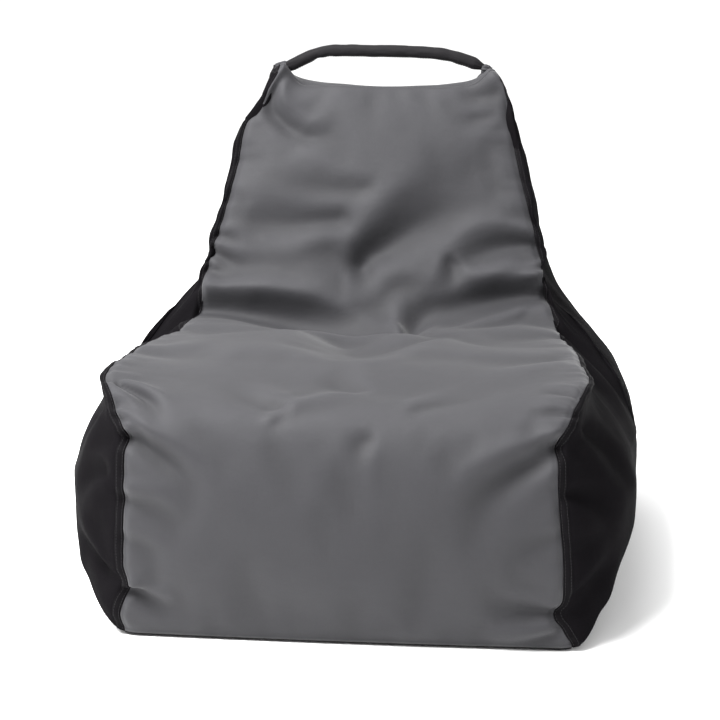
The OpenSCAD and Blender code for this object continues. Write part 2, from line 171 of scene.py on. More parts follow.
class Finish:
    """A material under construction: a Principled shader and the nodes that feed it."""

    def __init__(self, name, **fixed):
        self.material = bpy.data.materials.new(name)
        self.material.use_nodes = True
        self.nodes = self.material.node_tree.nodes
        self.links = self.material.node_tree.links
        self.shader = self.nodes["Principled BSDF"]
        for label, value in fixed.items():
            self.shader.inputs[label.replace("_", " ")].default_value = value

    def put(self, socket, value):
        """Links a socket to another one, or gives it a number, colour or vector."""
        if isinstance(value, Socket):
            self.links.new(value.socket, socket)
        else:
            socket.default_value = value

    def node(self, kind, settings=None, inputs=None, output=0):
        """Adds a node of a type, with its settings first and then its sockets, and gives one output."""
        made = self.nodes.new(kind)
        for label, value in (settings or {}).items():
            if label == "stops":
                ramp = made.color_ramp
                while len(ramp.elements) < len(value):
                    ramp.elements.new(0.5)
                for element, (place, shade) in zip(ramp.elements, value):
                    element.position, element.color = place, shade
            else:
                setattr(made, label, value)
        for label, value in (inputs or {}).items():
            self.put(made.inputs[label], value)
        return Socket(self, made.outputs[output])

    def place(self, source="Object"):
        """Position on the piece: Object coordinates in metres, or its own UV map, also in metres."""
        if source == "UV":
            return self.node("ShaderNodeUVMap", {"uv_map": "cloth"})
        return self.node("ShaderNodeTexCoord", output="Object")

    def axes(self, place):
        split = self.nodes.new("ShaderNodeSeparateXYZ")
        self.put(split.inputs[0], place)
        return [Socket(self, split.outputs[k]) for k in range(3)]

    def noise(self, place, scale, detail=2.0, rough=0.5):
        return self.node(
            "ShaderNodeTexNoise", {"noise_dimensions": "3D"},
            {"Vector": place, "Scale": scale, "Detail": detail, "Roughness": rough},
        )

    def stretched(self, place, scale):
        return self.node("ShaderNodeVectorMath", {"operation": "MULTIPLY"}, {0: place, 1: scale})

    def mixed(self, factor, first, second):
        """Colour that goes from the first to the second as the factor goes from 0 to 1."""
        made = self.nodes.new("ShaderNodeMix")
        made.data_type, made.clamp_factor = "RGBA", True
        self.put(made.inputs[0], factor)
        for socket, value in ((made.inputs[6], first), (made.inputs[7], second)):
            self.put(socket, value if isinstance(value, Socket) else (*value, 1))
        return Socket(self, made.outputs[2])

    def attribute(self, name):
        return self.node("ShaderNodeAttribute", {"attribute_name": name}, output="Fac")

    def feed(self, **values):
        for label, value in values.items():
            self.put(self.shader.inputs[label.replace("_", " ")], value)

    def bump(self, height, depth=1.0, strength=1.0):
        bump = self.node("ShaderNodeBump", {}, {"Height": height, "Distance": depth, "Strength": strength})
        self.feed(Normal=bump)


def tone(shade, factor):
    return tuple(min(1.0, c * factor) for c in shade)


def plain_weave(finish, place, thread):
    """Height of a plain weave: each thread is an arch, and warp and weft pass over each other in turn."""
    u, v, _ = finish.axes(place)
    across, along = u * (math.pi / thread), v * (math.pi / thread)
    over = (across.sine() * along.sine()).above(0.0, 0.25)
    warp, weft = abs(across.sine()), abs(along.sine())
    return weft + over * (warp - weft)


def cloth(name, shade, thread=0.00075, rough=0.62, sheen=0.04, ridge_shading=True, gloss=0.35, ior=1.5):
    """Coated woven cloth: weave, thicker threads here and there, soft mottling, and a painted highlight on fold
    ridges with painted shade in the valleys.
    """
    made = Finish(name, Sheen_Weight=sheen, Sheen_Roughness=0.45, Specular_IOR_Level=gloss, IOR=ior)
    place = made.place("UV")
    weave = plain_weave(made, place, thread)
    slubs = made.noise(made.stretched(place, (40, 900, 40)), 1.0, 2) + made.noise(
        made.stretched(place, (900, 40, 40)), 1.0, 2
    )
    cloud = made.noise(made.place(), 14.0, 4, 0.6)
    grain = made.noise(made.place(), 420.0, 2, 0.7)
    level = (cloud - 0.5) * 0.35 + (slubs - 1.0) * 0.9 + (weave - 0.6) * 0.3 + (grain - 0.5) * 0.7 + 0.5
    if ridge_shading:
        # Lighter on the fold ridges and darker in the fold valleys: painted highlight and painted shade.
        level = level + made.attribute("ridge") * 0.35
    made.feed(
        Base_Color=made.mixed(level, tone(shade, 0.84), tone(shade, 1.18)),
        Roughness=(cloud - 0.5) * 0.22 + (weave - 0.5) * -0.10 + (slubs - 1.0) * 0.12 + rough,
    )
    creases = made.noise(made.stretched(made.place(), (1.0, 1.0, 1.35)), 34.0, 3, 0.55)
    made.bump(weave * 0.00007 + slubs * 0.00006 + creases * 0.0007 + grain * 0.00005)
    return made.material


def thread_finish(name, shade):
    """Twisted thread: fine slanting ridges."""
    made = Finish(name, Sheen_Weight=0.01, Specular_IOR_Level=0.4, IOR=1.25)
    place = made.place()
    x, y, z = made.axes(place)
    twist = ((x + y * 0.6 + z * 0.8) * 9000.0).sine()
    fuzz = made.noise(place, 2400.0, 2)
    made.feed(
        Base_Color=made.mixed(twist * 0.25 + fuzz * 0.5, tone(shade, 0.8), tone(shade, 1.5)),
        Roughness=fuzz * 0.2 + 0.5,
    )
    made.bump(twist * 0.00005)
    return made.material


def tape_finish(name, shade):
    """Zip tape: herringbone of fine twill ribs."""
    made = Finish(name, Sheen_Weight=0.15, Specular_IOR_Level=0.3)
    place = made.place()
    x, _, z = made.axes(place)
    slant = abs((z * (math.pi / 0.0036)).sine()) * 0.0012
    ribs = ((x + slant) * (2 * math.pi / 0.0009)).sine()
    fuzz = made.noise(place, 1500.0, 3)
    made.feed(
        Base_Color=made.mixed(ribs * 0.3 + fuzz, tone(shade, 0.7), tone(shade, 1.5)),
        Roughness=fuzz * 0.2 + 0.62,
    )
    made.bump(ribs * 0.00005 + fuzz * 0.00004)
    return made.material


def nylon_finish(name, shade):
    """Drawn nylon: satin, with faint marks."""
    made = Finish(name, Specular_IOR_Level=0.5)
    place = made.place()
    marks = made.noise(made.stretched(place, (300, 2500, 2500)), 1.0, 3)
    made.feed(Base_Color=made.mixed(marks, tone(shade, 0.8), tone(shade, 1.3)), Roughness=marks * 0.2 + 0.26)
    made.bump(marks * 0.00002)
    return made.material


def metal_finish(name, shade):
    """Plated zinc: fine tumbling marks, duller and darker in patches."""
    made = Finish(name, Metallic=1.0)
    place = made.place()
    marks = made.noise(made.stretched(place, (400, 3000, 3000)), 1.0, 3)
    patches = made.noise(place, 220.0, 4, 0.65)
    made.feed(
        Base_Color=made.mixed(patches, tone(shade, 0.72), tone(shade, 1.1)),
        Roughness=patches * 0.22 + marks * 0.12 + 0.16,
    )
    made.bump(marks * 0.00002 + patches * 0.00002)
    return made.material


def liner_finish(name, shade):
    """Thin non-woven cloth: bonded fibres with a grid of small welded points."""
    made = Finish(name, Sheen_Weight=0.2, Specular_IOR_Level=0.25)
    place = made.place()
    fibres = made.noise(made.stretched(place, (900, 500, 900)), 1.0, 4, 0.7)
    x, y, z = made.axes(place)
    points = (((x + y) * 1600.0).sine() * (z * 1600.0).sine()).above(0.8, 0.1)
    made.feed(
        Base_Color=made.mixed(fibres - points * 0.4, tone(shade, 0.86), tone(shade, 1.1)),
        Roughness=fibres * 0.15 + 0.7,
    )
    made.bump(fibres * 0.0001 - points * 0.0001)
    return made.material


def bead_finish(name, shade):
    """Packed foam beads about 4 mm across."""
    made = Finish(name, Specular_IOR_Level=0.35)
    place = made.place()
    cell = made.node("ShaderNodeTexVoronoi", {"feature": "F1"}, {"Vector": place, "Scale": 240.0})
    # The colour darkens from each bead's middle towards its edge: painted shade in the gaps between the beads.
    made.feed(
        Base_Color=made.mixed(cell, tone(shade, 1.05), tone(shade, 0.55)), Roughness=cell * 0.2 + 0.5
    )
    made.bump(cell * -0.0016)
    return made.material


def foam_finish(name, shade):
    """Closed-cell foam cord."""
    made = Finish(name, Specular_IOR_Level=0.2)
    place = made.place()
    cell = made.node("ShaderNodeTexVoronoi", {"feature": "F1"}, {"Vector": place, "Scale": 1400.0})
    made.feed(Base_Color=made.mixed(cell, tone(shade, 1.05), tone(shade, 0.8)), Roughness=cell * 0.1 + 0.75)
    made.bump(cell * -0.0002)
    return made.material


MATERIALS = {
    "grey_weave": lambda c: cloth("grey_woven_cloth", c.grey, rough=0.70, sheen=0.11, gloss=0.28),
    "black_weave": lambda c: cloth("black_woven_cloth", c.black, rough=0.55, sheen=0.0, gloss=0.07, ior=1.07),
    "base_weave": lambda c: cloth("base_woven_cloth", c.base, thread=0.0011, sheen=0.0, gloss=0.2, ior=1.18),
    "seam_fold": lambda c: cloth(
        "seam_fold_cloth", c.black, rough=0.5, sheen=0.006, ridge_shading=False, gloss=0.15, ior=1.12
    ),
    "gathered_corner": lambda c: cloth(
        "gathered_cloth", c.grey, rough=0.72, sheen=0.07, gloss=0.28, ridge_shading=False
    ),
    "handle_cloth": lambda c: cloth(
        "handle_woven_cloth", c.handle, thread=0.0006, sheen=0.008, ridge_shading=False, gloss=0.25, ior=1.2
    ),
    "thread": lambda c: thread_finish("thread", c.thread),
    "handle_padding": lambda c: foam_finish("handle_padding", c.foam),
    "zip_tape": lambda c: tape_finish("zip_tape", c.tape),
    "zip_coil": lambda c: nylon_finish("zip_coil", c.coil),
    "zip_metal": lambda c: metal_finish("zip_metal", c.metal),
    "liner_cloth": lambda c: liner_finish("liner_cloth", c.liner),
    "liner_zip_tape": lambda c: tape_finish("liner_zip_tape", tone(c.liner, 0.9)),
    "liner_zip_coil": lambda c: nylon_finish("liner_zip_coil", tone(c.liner, 0.9)),
    "liner_zip_metal": lambda c: metal_finish("liner_zip_metal", c.metal),
    "beads": lambda c: bead_finish("beads", c.beads),
}


MADE = {}


def material(slot):
    """The material of a slot, made the first time that it is asked for."""
    if slot not in MADE:
        MADE[slot] = MATERIALS[slot](colours())
    return MADE[slot]


# Meshes -----------------------------------------------------------------------------------------

def mix(a, b, t):
    return a + (b - a) * t


def smooth(t):
    """0 below 0, 1 above 1, and 3 t squared less 2 t cubed between."""
    c = np.clip(t, 0.0, 1.0)
    return c * c * (3 - 2 * c)


def bell(t):
    """A bump that is 1 at 0 and falls away as e to the minus t squared."""
    return np.exp(-np.square(t))


def ripple(x, y, seed=0.0):
    """Smooth unrepeating bumps from -1 to 1: hashed values at whole numbers, mixed smoothly between."""
    i, j = np.floor(x), np.floor(y)
    f, g = x - i, y - j
    f, g = f ** 3 * (f * (f * 6 - 15) + 10), g ** 3 * (g * (g * 6 - 15) + 10)

    def corner(a, b):
        value = np.sin(a * 12.9898 + b * 78.233 + seed * 37.719) * 43758.5453
        return 2 * (value - np.floor(value)) - 1

    return mix(mix(corner(i, j), corner(i + 1, j), f), mix(corner(i, j + 1), corner(i + 1, j + 1), f), g)


def steps(points):
    """Distances along a line of points from its start."""
    return np.concatenate([[0.0], np.cumsum(np.linalg.norm(np.diff(points, axis=0), axis=1))])


def spline(knots, u):
    """Catmull-Rom curve through knots at places u, where knot k is at u = k."""
    last = len(knots) - 1
    k = np.clip(np.floor(u).astype(int), 0, last - 1)
    t = (u - k)[:, None]
    a, b = knots[np.maximum(k - 1, 0)], knots[k]
    c, d = knots[k + 1], knots[np.minimum(k + 2, last)]
    square, cube = 2 * a - 5 * b + 4 * c - d, 3 * b - a - 3 * c + d
    return 0.5 * (2 * b + (c - a) * t + square * t ** 2 + cube * t ** 3)


def even(knots, count):
    """Points at equal distances along the curve through knots."""
    dense = spline(np.array(knots, float), np.linspace(0, len(knots) - 1, 40 * len(knots)))
    along = steps(dense)
    at = np.linspace(0, along[-1], count)
    return np.stack([np.interp(at, along, dense[:, k]) for k in range(dense.shape[1])], 1)


def circle(count):
    """Angles at equal steps round a circle."""
    return np.arange(count) * (2 * math.pi / count)


def on_circle(radius, turn):
    """Points (across, up) at angles, at a radius that may change with the angle."""
    return np.stack([radius * np.cos(turn), radius * np.sin(turn)], -1)


def unit(vectors):
    return vectors / np.maximum(np.linalg.norm(vectors, axis=-1, keepdims=True), 1e-12)


def grid_normals(points, around=False):
    """Normals of a grid, second direction cross first, so that they agree with grid_faces."""
    down = np.gradient(points, axis=0)
    if around:
        wrapped = np.concatenate([points[:, -1:], points, points[:, :1]], 1)
        across = (wrapped[:, 2:] - wrapped[:, :-2]) / 2
    else:
        across = np.gradient(points, axis=1)
    return unit(np.cross(across, down))


def grid_faces(rows, cols, around=False, start=0):
    """Quads of a grid, with a last strip that closes it where it runs around."""
    i, j = np.meshgrid(np.arange(rows - 1), np.arange(cols if around else cols - 1), indexing="ij")
    k = (j + 1) % cols
    quads = np.stack([i * cols + j, i * cols + k, (i + 1) * cols + k, (i + 1) * cols + j], -1)
    return quads.reshape(-1, 4) + start


def add_object(name, data):
    made = bpy.data.objects.new(name, data)
    bpy.context.scene.collection.objects.link(made)
    return made


def give_uv(mesh, uv):
    """A UV map of the cloth, in metres, from a place for each point."""
    corner = np.empty(len(mesh.loops), np.int32)
    mesh.loops.foreach_get("vertex_index", corner)
    layer = mesh.uv_layers.new(name="cloth")
    layer.data.foreach_set("uv", np.asarray(uv, np.float32).reshape(-1, 2)[corner].ravel())


def merge_doubles(mesh, distance, flat=0.0):
    """Joins points that are closer than a distance, then removes edges that bend less than an angle."""
    work = bmesh.new()
    work.from_mesh(mesh)
    bmesh.ops.remove_doubles(work, verts=work.verts, dist=distance)
    if flat:
        bmesh.ops.dissolve_limit(work, angle_limit=flat, verts=work.verts, edges=work.edges)
    work.to_mesh(mesh)
    work.free()


def make_mesh(name, points, faces, slot, uv=None, marks=None):
    """A smooth-shaded mesh object with a cloth UV map in metres and point attributes."""
    mesh = bpy.data.meshes.new(name)
    mesh.from_pydata(np.asarray(points, float).reshape(-1, 3).tolist(), [], [list(f) for f in faces])
    mesh.polygons.foreach_set("use_smooth", np.ones(len(mesh.polygons), bool))
    if uv is not None:
        give_uv(mesh, uv)
    for label, values in (marks or {}).items():
        mark = mesh.attributes.new(label, "FLOAT", "POINT")
        mark.data.foreach_set("value", np.asarray(values, np.float32).ravel())
    mesh.materials.append(material(slot))
    mesh.update()
    return add_object(name, mesh)


def place_piece(piece, body, slot, *nodes):
    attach(piece, body)
    if nodes:
        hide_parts(*nodes)
    return piece


def thicken(piece, thickness):
    """Gives an open sheet its thickness, inwards from the face that shows."""
    wall = piece.modifiers.new("cloth", "SOLIDIFY")
    wall.thickness, wall.offset, wall.use_even_offset = thickness, -1.0, False


def outward_tube(points, faces):
    """Turns faces over where a closed mesh has its inside out, by the sign of its volume."""
    tris = np.array([f[:3] for f in faces])
    a, b, c = points[tris[:, 0]], points[tris[:, 1]], points[tris[:, 2]]
    if np.einsum("ij,ij->i", a - points.mean(0), np.cross(b - points.mean(0), c - points.mean(0))).sum() < 0:
        faces = [f[::-1] for f in faces]
    return faces


def tube_mesh(rings):
    """Points and faces of a tube from its rings, with a fan over each end."""
    count, around = rings.shape[:2]
    points = np.concatenate([rings.reshape(-1, 3), rings[0].mean(0)[None], rings[-1].mean(0)[None]])
    n = count * around
    j = np.arange(around)
    k = (j + 1) % around
    faces = grid_faces(count, around, True).tolist()
    faces += np.stack([np.full(around, n), k, j], 1).tolist()
    faces += np.stack([np.full(around, n + 1), n - around + j, n - around + k], 1).tolist()
    return points, outward_tube(points, faces)


def sweep(path, section, up):
    """Rings of a section (across, up) carried along a path, with its second axis close to a chosen
    upward direction. The section is one outline, or one for each point of the path."""
    along = unit(np.gradient(path, axis=0))
    side = unit(np.cross(along, np.broadcast_to(np.asarray(up, float), path.shape)))
    lift = np.cross(side, along)
    section = np.broadcast_to(section, (len(path), *np.shape(section)[-2:]))
    return path[:, None] + section[..., :1] * side[:, None] + section[..., 1:] * lift[:, None]


def tube(name, rings, slot, uv=None):
    return make_mesh(name, *tube_mesh(rings), slot, uv)


def stitches(name, centres, along, outward, slot, size, radius):
    """Low capsules laid on a surface, one at each centre: six sides, and pinched at both ends."""
    sides = 6
    turn = circle(sides)
    place = np.array([-0.5, -0.36, 0.36, 0.5]) * size
    girth = np.array([0.35, 1.0, 1.0, 0.35]) * radius
    lift = np.array([-0.5, 0.3, 0.3, -0.5]) * radius
    side = unit(np.cross(outward, along))
    rings = (
        centres[:, None, None]
        + place[None, :, None, None] * along[:, None, None]
        + (girth[:, None] * np.cos(turn))[None, :, :, None] * side[:, None, None]
        + (lift[:, None] + girth[:, None] * np.sin(turn))[None, :, :, None] * outward[:, None, None]
    )
    corners = len(place) * sides
    shift = (np.arange(len(centres)) * corners)[:, None, None]
    quads = (grid_faces(len(place), sides, True)[None] + shift).reshape(-1, 4)
    ends = np.array([np.arange(sides)[::-1], np.arange(corners - sides, corners)])
    caps = (ends[None] + shift).reshape(-1, sides)
    return make_mesh(name, rings.reshape(-1, 3), quads.tolist() + caps.tolist(), slot)


def along_line(points, outward, pitch):
    """Centres, directions and outward vectors at equal steps along a line on a surface."""
    at = steps(points)
    place = np.arange(pitch, at[-1] - pitch, pitch)
    pick = lambda values: np.stack([np.interp(place, at, values[:, k]) for k in range(3)], 1)
    return pick(points), unit(pick(np.gradient(points, axis=0))), unit(pick(outward))


# The bag's shape --------------------------------------------------------------------------------

class Outline:
    """The side outline as a table by distance from the front foot: y, z, half width, crown, normal."""

    def __init__(self, size):
        z = self.size = size
        half, foot, rear = z.depth / 2, z.foot_rise, BASE[1].y
        crown, crease, top = -half + z.crown_setback, half - z.back_depth, half - z.top_setback
        low, high = z.seat_height - 0.030, z.back_height
        front, seat, hip, upper, back = z.front_width, z.seat_width, z.hip_width, z.top_width, z.rear_width
        zip_z = (ZIP[0][0].z + ZIP[1][1].z) / 2
        knots = np.array([
            [BASE[0].y - 0.008, foot, front / 2 + 0.004, 0.004],
            [-half + 0.014, 0.33 * z.seat_height, front / 2, 0.014],
            [-half + 0.018, 0.72 * z.seat_height, front / 2 - 0.004, 0.014],
            [-half + 0.4 * z.crown_setback, z.seat_height - 0.030, mix(front, seat, 0.45) / 2, 0.009],
            [crown, z.seat_height, seat / 2, 0.002],
            [mix(crown, crease, 0.45), z.seat_height - 0.008, mix(seat, hip, 0.3) / 2, -0.003],
            [crease - 0.080, low + 0.010, mix(seat, hip, 0.72) / 2, -0.004],
            [crease, low + 0.013, hip / 2, -0.003],
            [mix(crease, top, 0.32), mix(low, high, 0.22), mix(hip, upper, 0.17) / 2, 0.008],
            [mix(crease, top, 0.62), mix(low, high, 0.56), mix(hip, upper, 0.5) / 2, 0.012],
            [mix(crease, top, 0.87), mix(low, high, 0.84), mix(hip, upper, 0.83) / 2, 0.004],
            [top, high, upper / 2, -0.006],
            [top + 0.042, high + 0.006, upper / 2, -0.021],
            [mix(top, rear, 0.62), mix(low, high, 0.82), mix(back, upper, 0.78) / 2, 0.004],
            [half - 0.026, mix(low, high, 0.22), mix(back, upper, 0.34) / 2, 0.012],
            [half - 0.012, 0.72 * z.seat_height, back / 2, 0.012],
            [rear, zip_z + 0.085, back / 2, 0],
            [rear, zip_z + 0.040, back / 2, 0],
            [rear, zip_z, back / 2, 0],
            [rear, foot, back / 2, 0],
        ])
        u = np.linspace(0, len(knots) - 1, 64 * (len(knots) - 1) + 1)
        line = spline(knots, u)
        self.at = steps(line[:, :2])
        self.line = line
        turn = unit(np.gradient(line[:, :2], axis=0))
        self.normal = np.stack([-turn[:, 1], turn[:, 0]], 1)
        self.top, self.zip, self.foot = (float(np.interp(k, u, self.at)) for k in (11, 18, 19))
        middle = 0.4 * half
        self.ridge = np.array([[-middle, 0.5 * z.seat_height], [crease + 0.1, 0.6 * z.seat_height]])

    def rows(self, s):
        """y, z, half width, crown, normal y, normal z at distances s."""
        both = np.concatenate([self.line, self.normal], 1)
        return np.stack([np.interp(s, self.at, both[:, k]) for k in range(6)], 1)

    def base_rows(self, count):
        """The same along the straight lower edge, from the rear foot back to the front foot."""
        t = np.linspace(0, 1, count + 2)[1:-1, None]
        first, last = self.rows(np.array([self.foot])), self.rows(np.array([0.0]))
        rows = mix(first, last, t)
        rows[:, 3:] = 0
        return rows

    def wall(self, rows, v, inset=0.0):
        """Grid of points on the band of panels: x is v times the half width, bulged by the crown."""
        y, z, w, c, ny, nz = (rows[:, k, None] for k in range(6))
        out = c * (1 - v ** 2) - inset
        return np.stack(np.broadcast_arrays(v * (w - inset), y + ny * out, z + nz * out), -1)

    def reach(self, z, sign):
        """How far a side reaches out at a height: a straight taper, with a belly below it and a
        hollow over the belly, deeper on the right."""
        size = self.size
        belly, middle = 0.049, 0.54 * size.seat_height
        taper = np.maximum(z - middle, 0) / (size.back_height - middle)
        hollow = (0.042 if sign > 0 else 0.014) * bell((z - 1.08 * size.seat_height) / 0.105)
        straight = mix(size.belly_reach - belly - 0.004, size.top_width / 2 + 0.016, taper)
        return straight - hollow + belly * (1 - smooth((z / size.seat_height - 0.7) / 0.45))

    def side(self, edge, sign, share, inset=0.0):
        """Grid of rings from a side's middle to its edge: depth falls from the belly's reach to the
        seam as the share to the power 2.4, and rings close in on a ridge that rises to the rear. The
        rings near the edge are evened out, and the whole stands a little proud of the seam."""
        run = self.ridge[1] - self.ridge[0]
        foot = ((edge[:, 1:] - self.ridge[0]) @ run) / (run @ run)
        foot = 0.5 + 0.5 * np.tanh(1.5 * (foot - 0.5))
        t = share[:, None]
        foot = mix(0.5, foot[None], smooth(t / 0.3))
        start = self.ridge[0] + foot[..., None] * run
        y = mix(start[..., 0], edge[None, :, 1], t)
        z = mix(start[..., 1], edge[None, :, 2], t)
        x = mix(self.reach(z, sign) - inset, np.abs(edge[None, :, 0]), t ** 2.4)
        for _ in range(24):
            near = (np.roll(x, 1, 1) + np.roll(x, -1, 1))[1:-1] + x[:-2] + x[2:]
            x[1:-1] = mix(x[1:-1], near / 4, 0.6 * smooth((1 - t[1:-1]) / 0.12))
        gap = np.hypot(y - edge[None, :, 1], z - edge[None, :, 2])
        high = smooth((edge[None, :, 2] - 0.25) / 0.15)
        x += mix(0.006, 0.013, high) * (1 - np.exp(-gap / 0.011)) * (1 - 0.6 * smooth(gap / 0.16))
        return np.stack([sign * x, y, z], -1)


# Where folds end in a front seam and pinch it in: metres up the seam, depth (less than 0 is
# outwards), half length.
PINCHES = {
    -1: (
        (0.300, 0.008, 0.022), (0.078, 0.009, 0.018), (0.028, -0.007, 0.020), (0.405, -0.006, 0.032),
        (0.856, 0.006, 0.026), (1.160, -0.017, 0.065), (1.210, 0.024, 0.030),
    ),
    1: (
        (0.302, 0.009, 0.018), (0.050, 0.013, 0.016), (0.000, -0.014, 0.022), (0.450, -0.006, 0.040),
        (0.888, 0.006, 0.024), (1.180, -0.015, 0.065), (1.228, 0.008, 0.022), (0.120, -0.008, 0.120),
    ),
}
# Folds: from, to, sideways bend as a share of the length, half width, depth, lean to one side.
# Places are metres across from the middle and up the panel from its lower seam. A rear panel's
# start from its top seam. A depth under 0 is a ridge.
FRONT_FOLDS = (
    ((-0.290, 0.848), (0.085, 0.772), 0.05, 0.020, 0.017, 0.5),
    ((0.058, 0.768), (-0.220, 0.835), -0.02, 0.017, 0.010, -0.4),
    ((0.290, 0.884), (0.075, 0.828), -0.07, 0.017, 0.019, -0.5),
    ((0.064, 0.768), (0.108, 0.866), 0.15, 0.015, 0.014, 0.3),
    ((-0.290, 0.884), (0.050, 0.832), 0.03, 0.022, -0.005, 0.0),
    ((-0.028, 0.918), (0.160, 1.030), 0.05, 0.028, 0.017, 0.1),
    ((-0.026, 0.922), (0.012, 0.880), -0.10, 0.014, 0.005, 0.0),
    ((0.268, 0.957), (0.110, 0.892), -0.15, 0.018, 0.013, -0.2),
    ((0.120, 0.932), (0.128, 0.880), 0.05, 0.013, 0.006, 0.0),
    ((-0.050, 0.996), (-0.260, 0.984), 0.03, 0.020, 0.007, 0.2),
    ((-0.010, 1.043), (-0.180, 1.050), 0.03, 0.018, 0.004, 0.0),
    ((-0.172, 1.202), (-0.075, 1.212), 0.10, 0.016, 0.011, 0.0),
    ((-0.174, 1.190), (-0.095, 1.118), -0.12, 0.011, 0.009, 0.3),
    ((-0.120, 1.128), (-0.040, 1.115), 0.05, 0.016, 0.003, 0.0),
    ((0.178, 1.190), (0.120, 1.208), 0.05, 0.011, 0.006, 0.2),
    ((0.176, 1.180), (0.118, 1.150), 0.06, 0.012, 0.003, 0.3),
    ((-0.278, 0.945), (-0.205, 0.900), 0.05, 0.010, 0.008, 0.4),
    ((-0.272, 0.970), (-0.215, 0.945), 0.05, 0.009, 0.005, 0.4),
    ((-0.285, 0.915), (-0.225, 0.888), 0.05, 0.009, 0.006, 0.4),
    ((0.275, 0.945), (0.210, 0.930), 0.05, 0.008, 0.005, 0.4),
    ((0.278, 0.926), (0.200, 0.912), 0.05, 0.007, 0.005, 0.4),
    ((0.282, 0.905), (0.215, 0.897), 0.05, 0.007, 0.004, 0.4),
    ((-0.318, 0.300), (-0.190, 0.220), 0.09, 0.013, 0.015, 0.5),
    ((-0.334, 0.352), (-0.285, 0.325), 0.05, 0.009, 0.005, 0.3),
    ((-0.318, 0.392), (-0.245, 0.322), 0.05, 0.008, 0.011, 0.4),
    ((-0.322, 0.330), (-0.262, 0.286), 0.05, 0.007, 0.007, 0.4),
    ((-0.335, 0.398), (-0.285, 0.392), 0.05, 0.009, 0.005, 0.3),
    ((-0.312, 0.208), (-0.200, 0.176), 0.03, 0.014, 0.006, 0.5),
    ((-0.312, 0.150), (-0.240, 0.128), 0.03, 0.012, 0.003, 0.4),
    ((-0.316, 0.070), (-0.235, 0.040), 0.05, 0.009, 0.010, 0.4),
    ((-0.316, 0.056), (-0.240, 0.088), 0.05, 0.009, 0.005, 0.2),
    ((0.318, 0.302), (0.170, 0.204), -0.05, 0.015, 0.015, -0.4),
    ((0.326, 0.345), (0.262, 0.352), -0.05, 0.007, 0.006, -0.4),
    ((0.330, 0.385), (0.272, 0.400), -0.05, 0.007, 0.005, -0.4),
    ((0.318, 0.305), (0.245, 0.316), 0.05, 0.009, 0.005, 0.3),
    ((0.310, 0.052), (0.205, 0.066), 0.03, 0.012, 0.012, 0.4),
    ((0.310, 0.034), (0.250, 0.002), 0.05, 0.009, 0.006, 0.3),
    ((0.318, 0.180), (0.225, 0.140), -0.03, 0.013, 0.003, -0.4),
    ((-0.078, 0.345), (-0.180, 0.402), 0.05, 0.018, 0.007, -0.2),
    ((0.020, 0.412), (-0.040, 0.455), 0.05, 0.020, 0.007, 0.0),
    ((-0.100, 0.330), (0.040, 0.402), 0.04, 0.012, -0.005, 0.0),
    ((0.045, 0.304), (0.010, 0.280), 0.0, 0.014, 0.005, 0.0),
    ((0.100, 0.350), (0.210, 0.395), 0.04, 0.016, 0.004, 0.3),
    ((0.240, 0.852), (0.090, 0.780), 0.03, 0.012, -0.004, 0.0),
    ((-0.300, 0.800), (-0.150, 0.786), 0.03, 0.012, -0.004, 0.0),
    ((-0.040, 0.740), (0.000, 0.500), 0.06, 0.052, 0.018, 0.0),
    ((0.110, 0.700), (-0.030, 0.600), 0.05, 0.026, 0.006, 0.3),
    ((0.300, 0.560), (0.150, 0.500), 0.05, 0.022, 0.005, 0.2),
    ((-0.330, 0.540), (-0.190, 0.500), 0.05, 0.022, 0.005, 0.2),
    ((-0.310, 0.760), (-0.200, 0.680), 0.08, 0.024, 0.005, 0.3),
    ((0.310, 0.760), (0.190, 0.690), -0.08, 0.024, 0.005, -0.3),
)
REAR_FOLDS = (
    ((-0.190, 0.150), (-0.060, 0.230), 0.08, 0.020, 0.006, 0.5),
    ((0.200, 0.180), (0.080, 0.250), -0.08, 0.020, 0.006, -0.5),
    ((-0.250, 0.330), (-0.080, 0.300), 0.06, 0.024, 0.006, 0.4),
    ((0.270, 0.370), (0.090, 0.340), -0.06, 0.024, 0.007, -0.4),
    ((-0.300, 0.470), (-0.150, 0.440), 0.06, 0.020, 0.005, 0.4),
    ((-0.302, 0.600), (-0.215, 0.640), 0.05, 0.013, 0.004, 0.4),
    ((0.302, 0.560), (0.205, 0.610), 0.05, 0.013, 0.005, 0.4),
    ((0.000, 0.500), (0.160, 0.470), 0.08, 0.030, 0.004, 0.2),
)
# The same on a side, in metres from front to rear and up from the floor.
SIDE_FOLDS = (
    ((0.095, 0.395), (0.010, 0.235), 0.12, 0.022, 0.013, 0.5),
    ((0.120, 0.400), (0.135, 0.240), -0.10, 0.020, 0.010, -0.5),
    ((0.080, 0.385), (-0.120, 0.300), 0.10, 0.022, 0.010, 0.5),
    ((0.150, 0.440), (0.270, 0.330), 0.10, 0.022, 0.009, 0.4),
    ((0.190, 0.520), (0.310, 0.455), 0.08, 0.020, 0.006, 0.3),
    ((-0.330, 0.320), (-0.240, 0.200), 0.10, 0.020, 0.007, -0.4),
    ((-0.395, 0.240), (-0.300, 0.170), 0.08, 0.016, 0.006, -0.5),
    ((-0.390, 0.090), (-0.290, 0.110), 0.08, 0.015, 0.006, 0.5),
    ((-0.300, 0.020), (-0.230, 0.110), 0.08, 0.018, 0.007, 0.4),
    ((-0.120, 0.014), (-0.090, 0.110), -0.08, 0.018, 0.006, 0.4),
    ((0.080, 0.014), (0.070, 0.120), 0.08, 0.018, 0.007, -0.4),
    ((0.260, 0.016), (0.230, 0.120), -0.08, 0.016, 0.006, -0.3),
    ((0.402, 0.150), (0.300, 0.160), 0.08, 0.016, 0.006, 0.4),
    ((0.405, 0.280), (0.310, 0.250), 0.08, 0.016, 0.006, -0.4),
    ((0.250, 0.680), (0.270, 0.560), 0.05, 0.016, 0.005, 0.3),
)


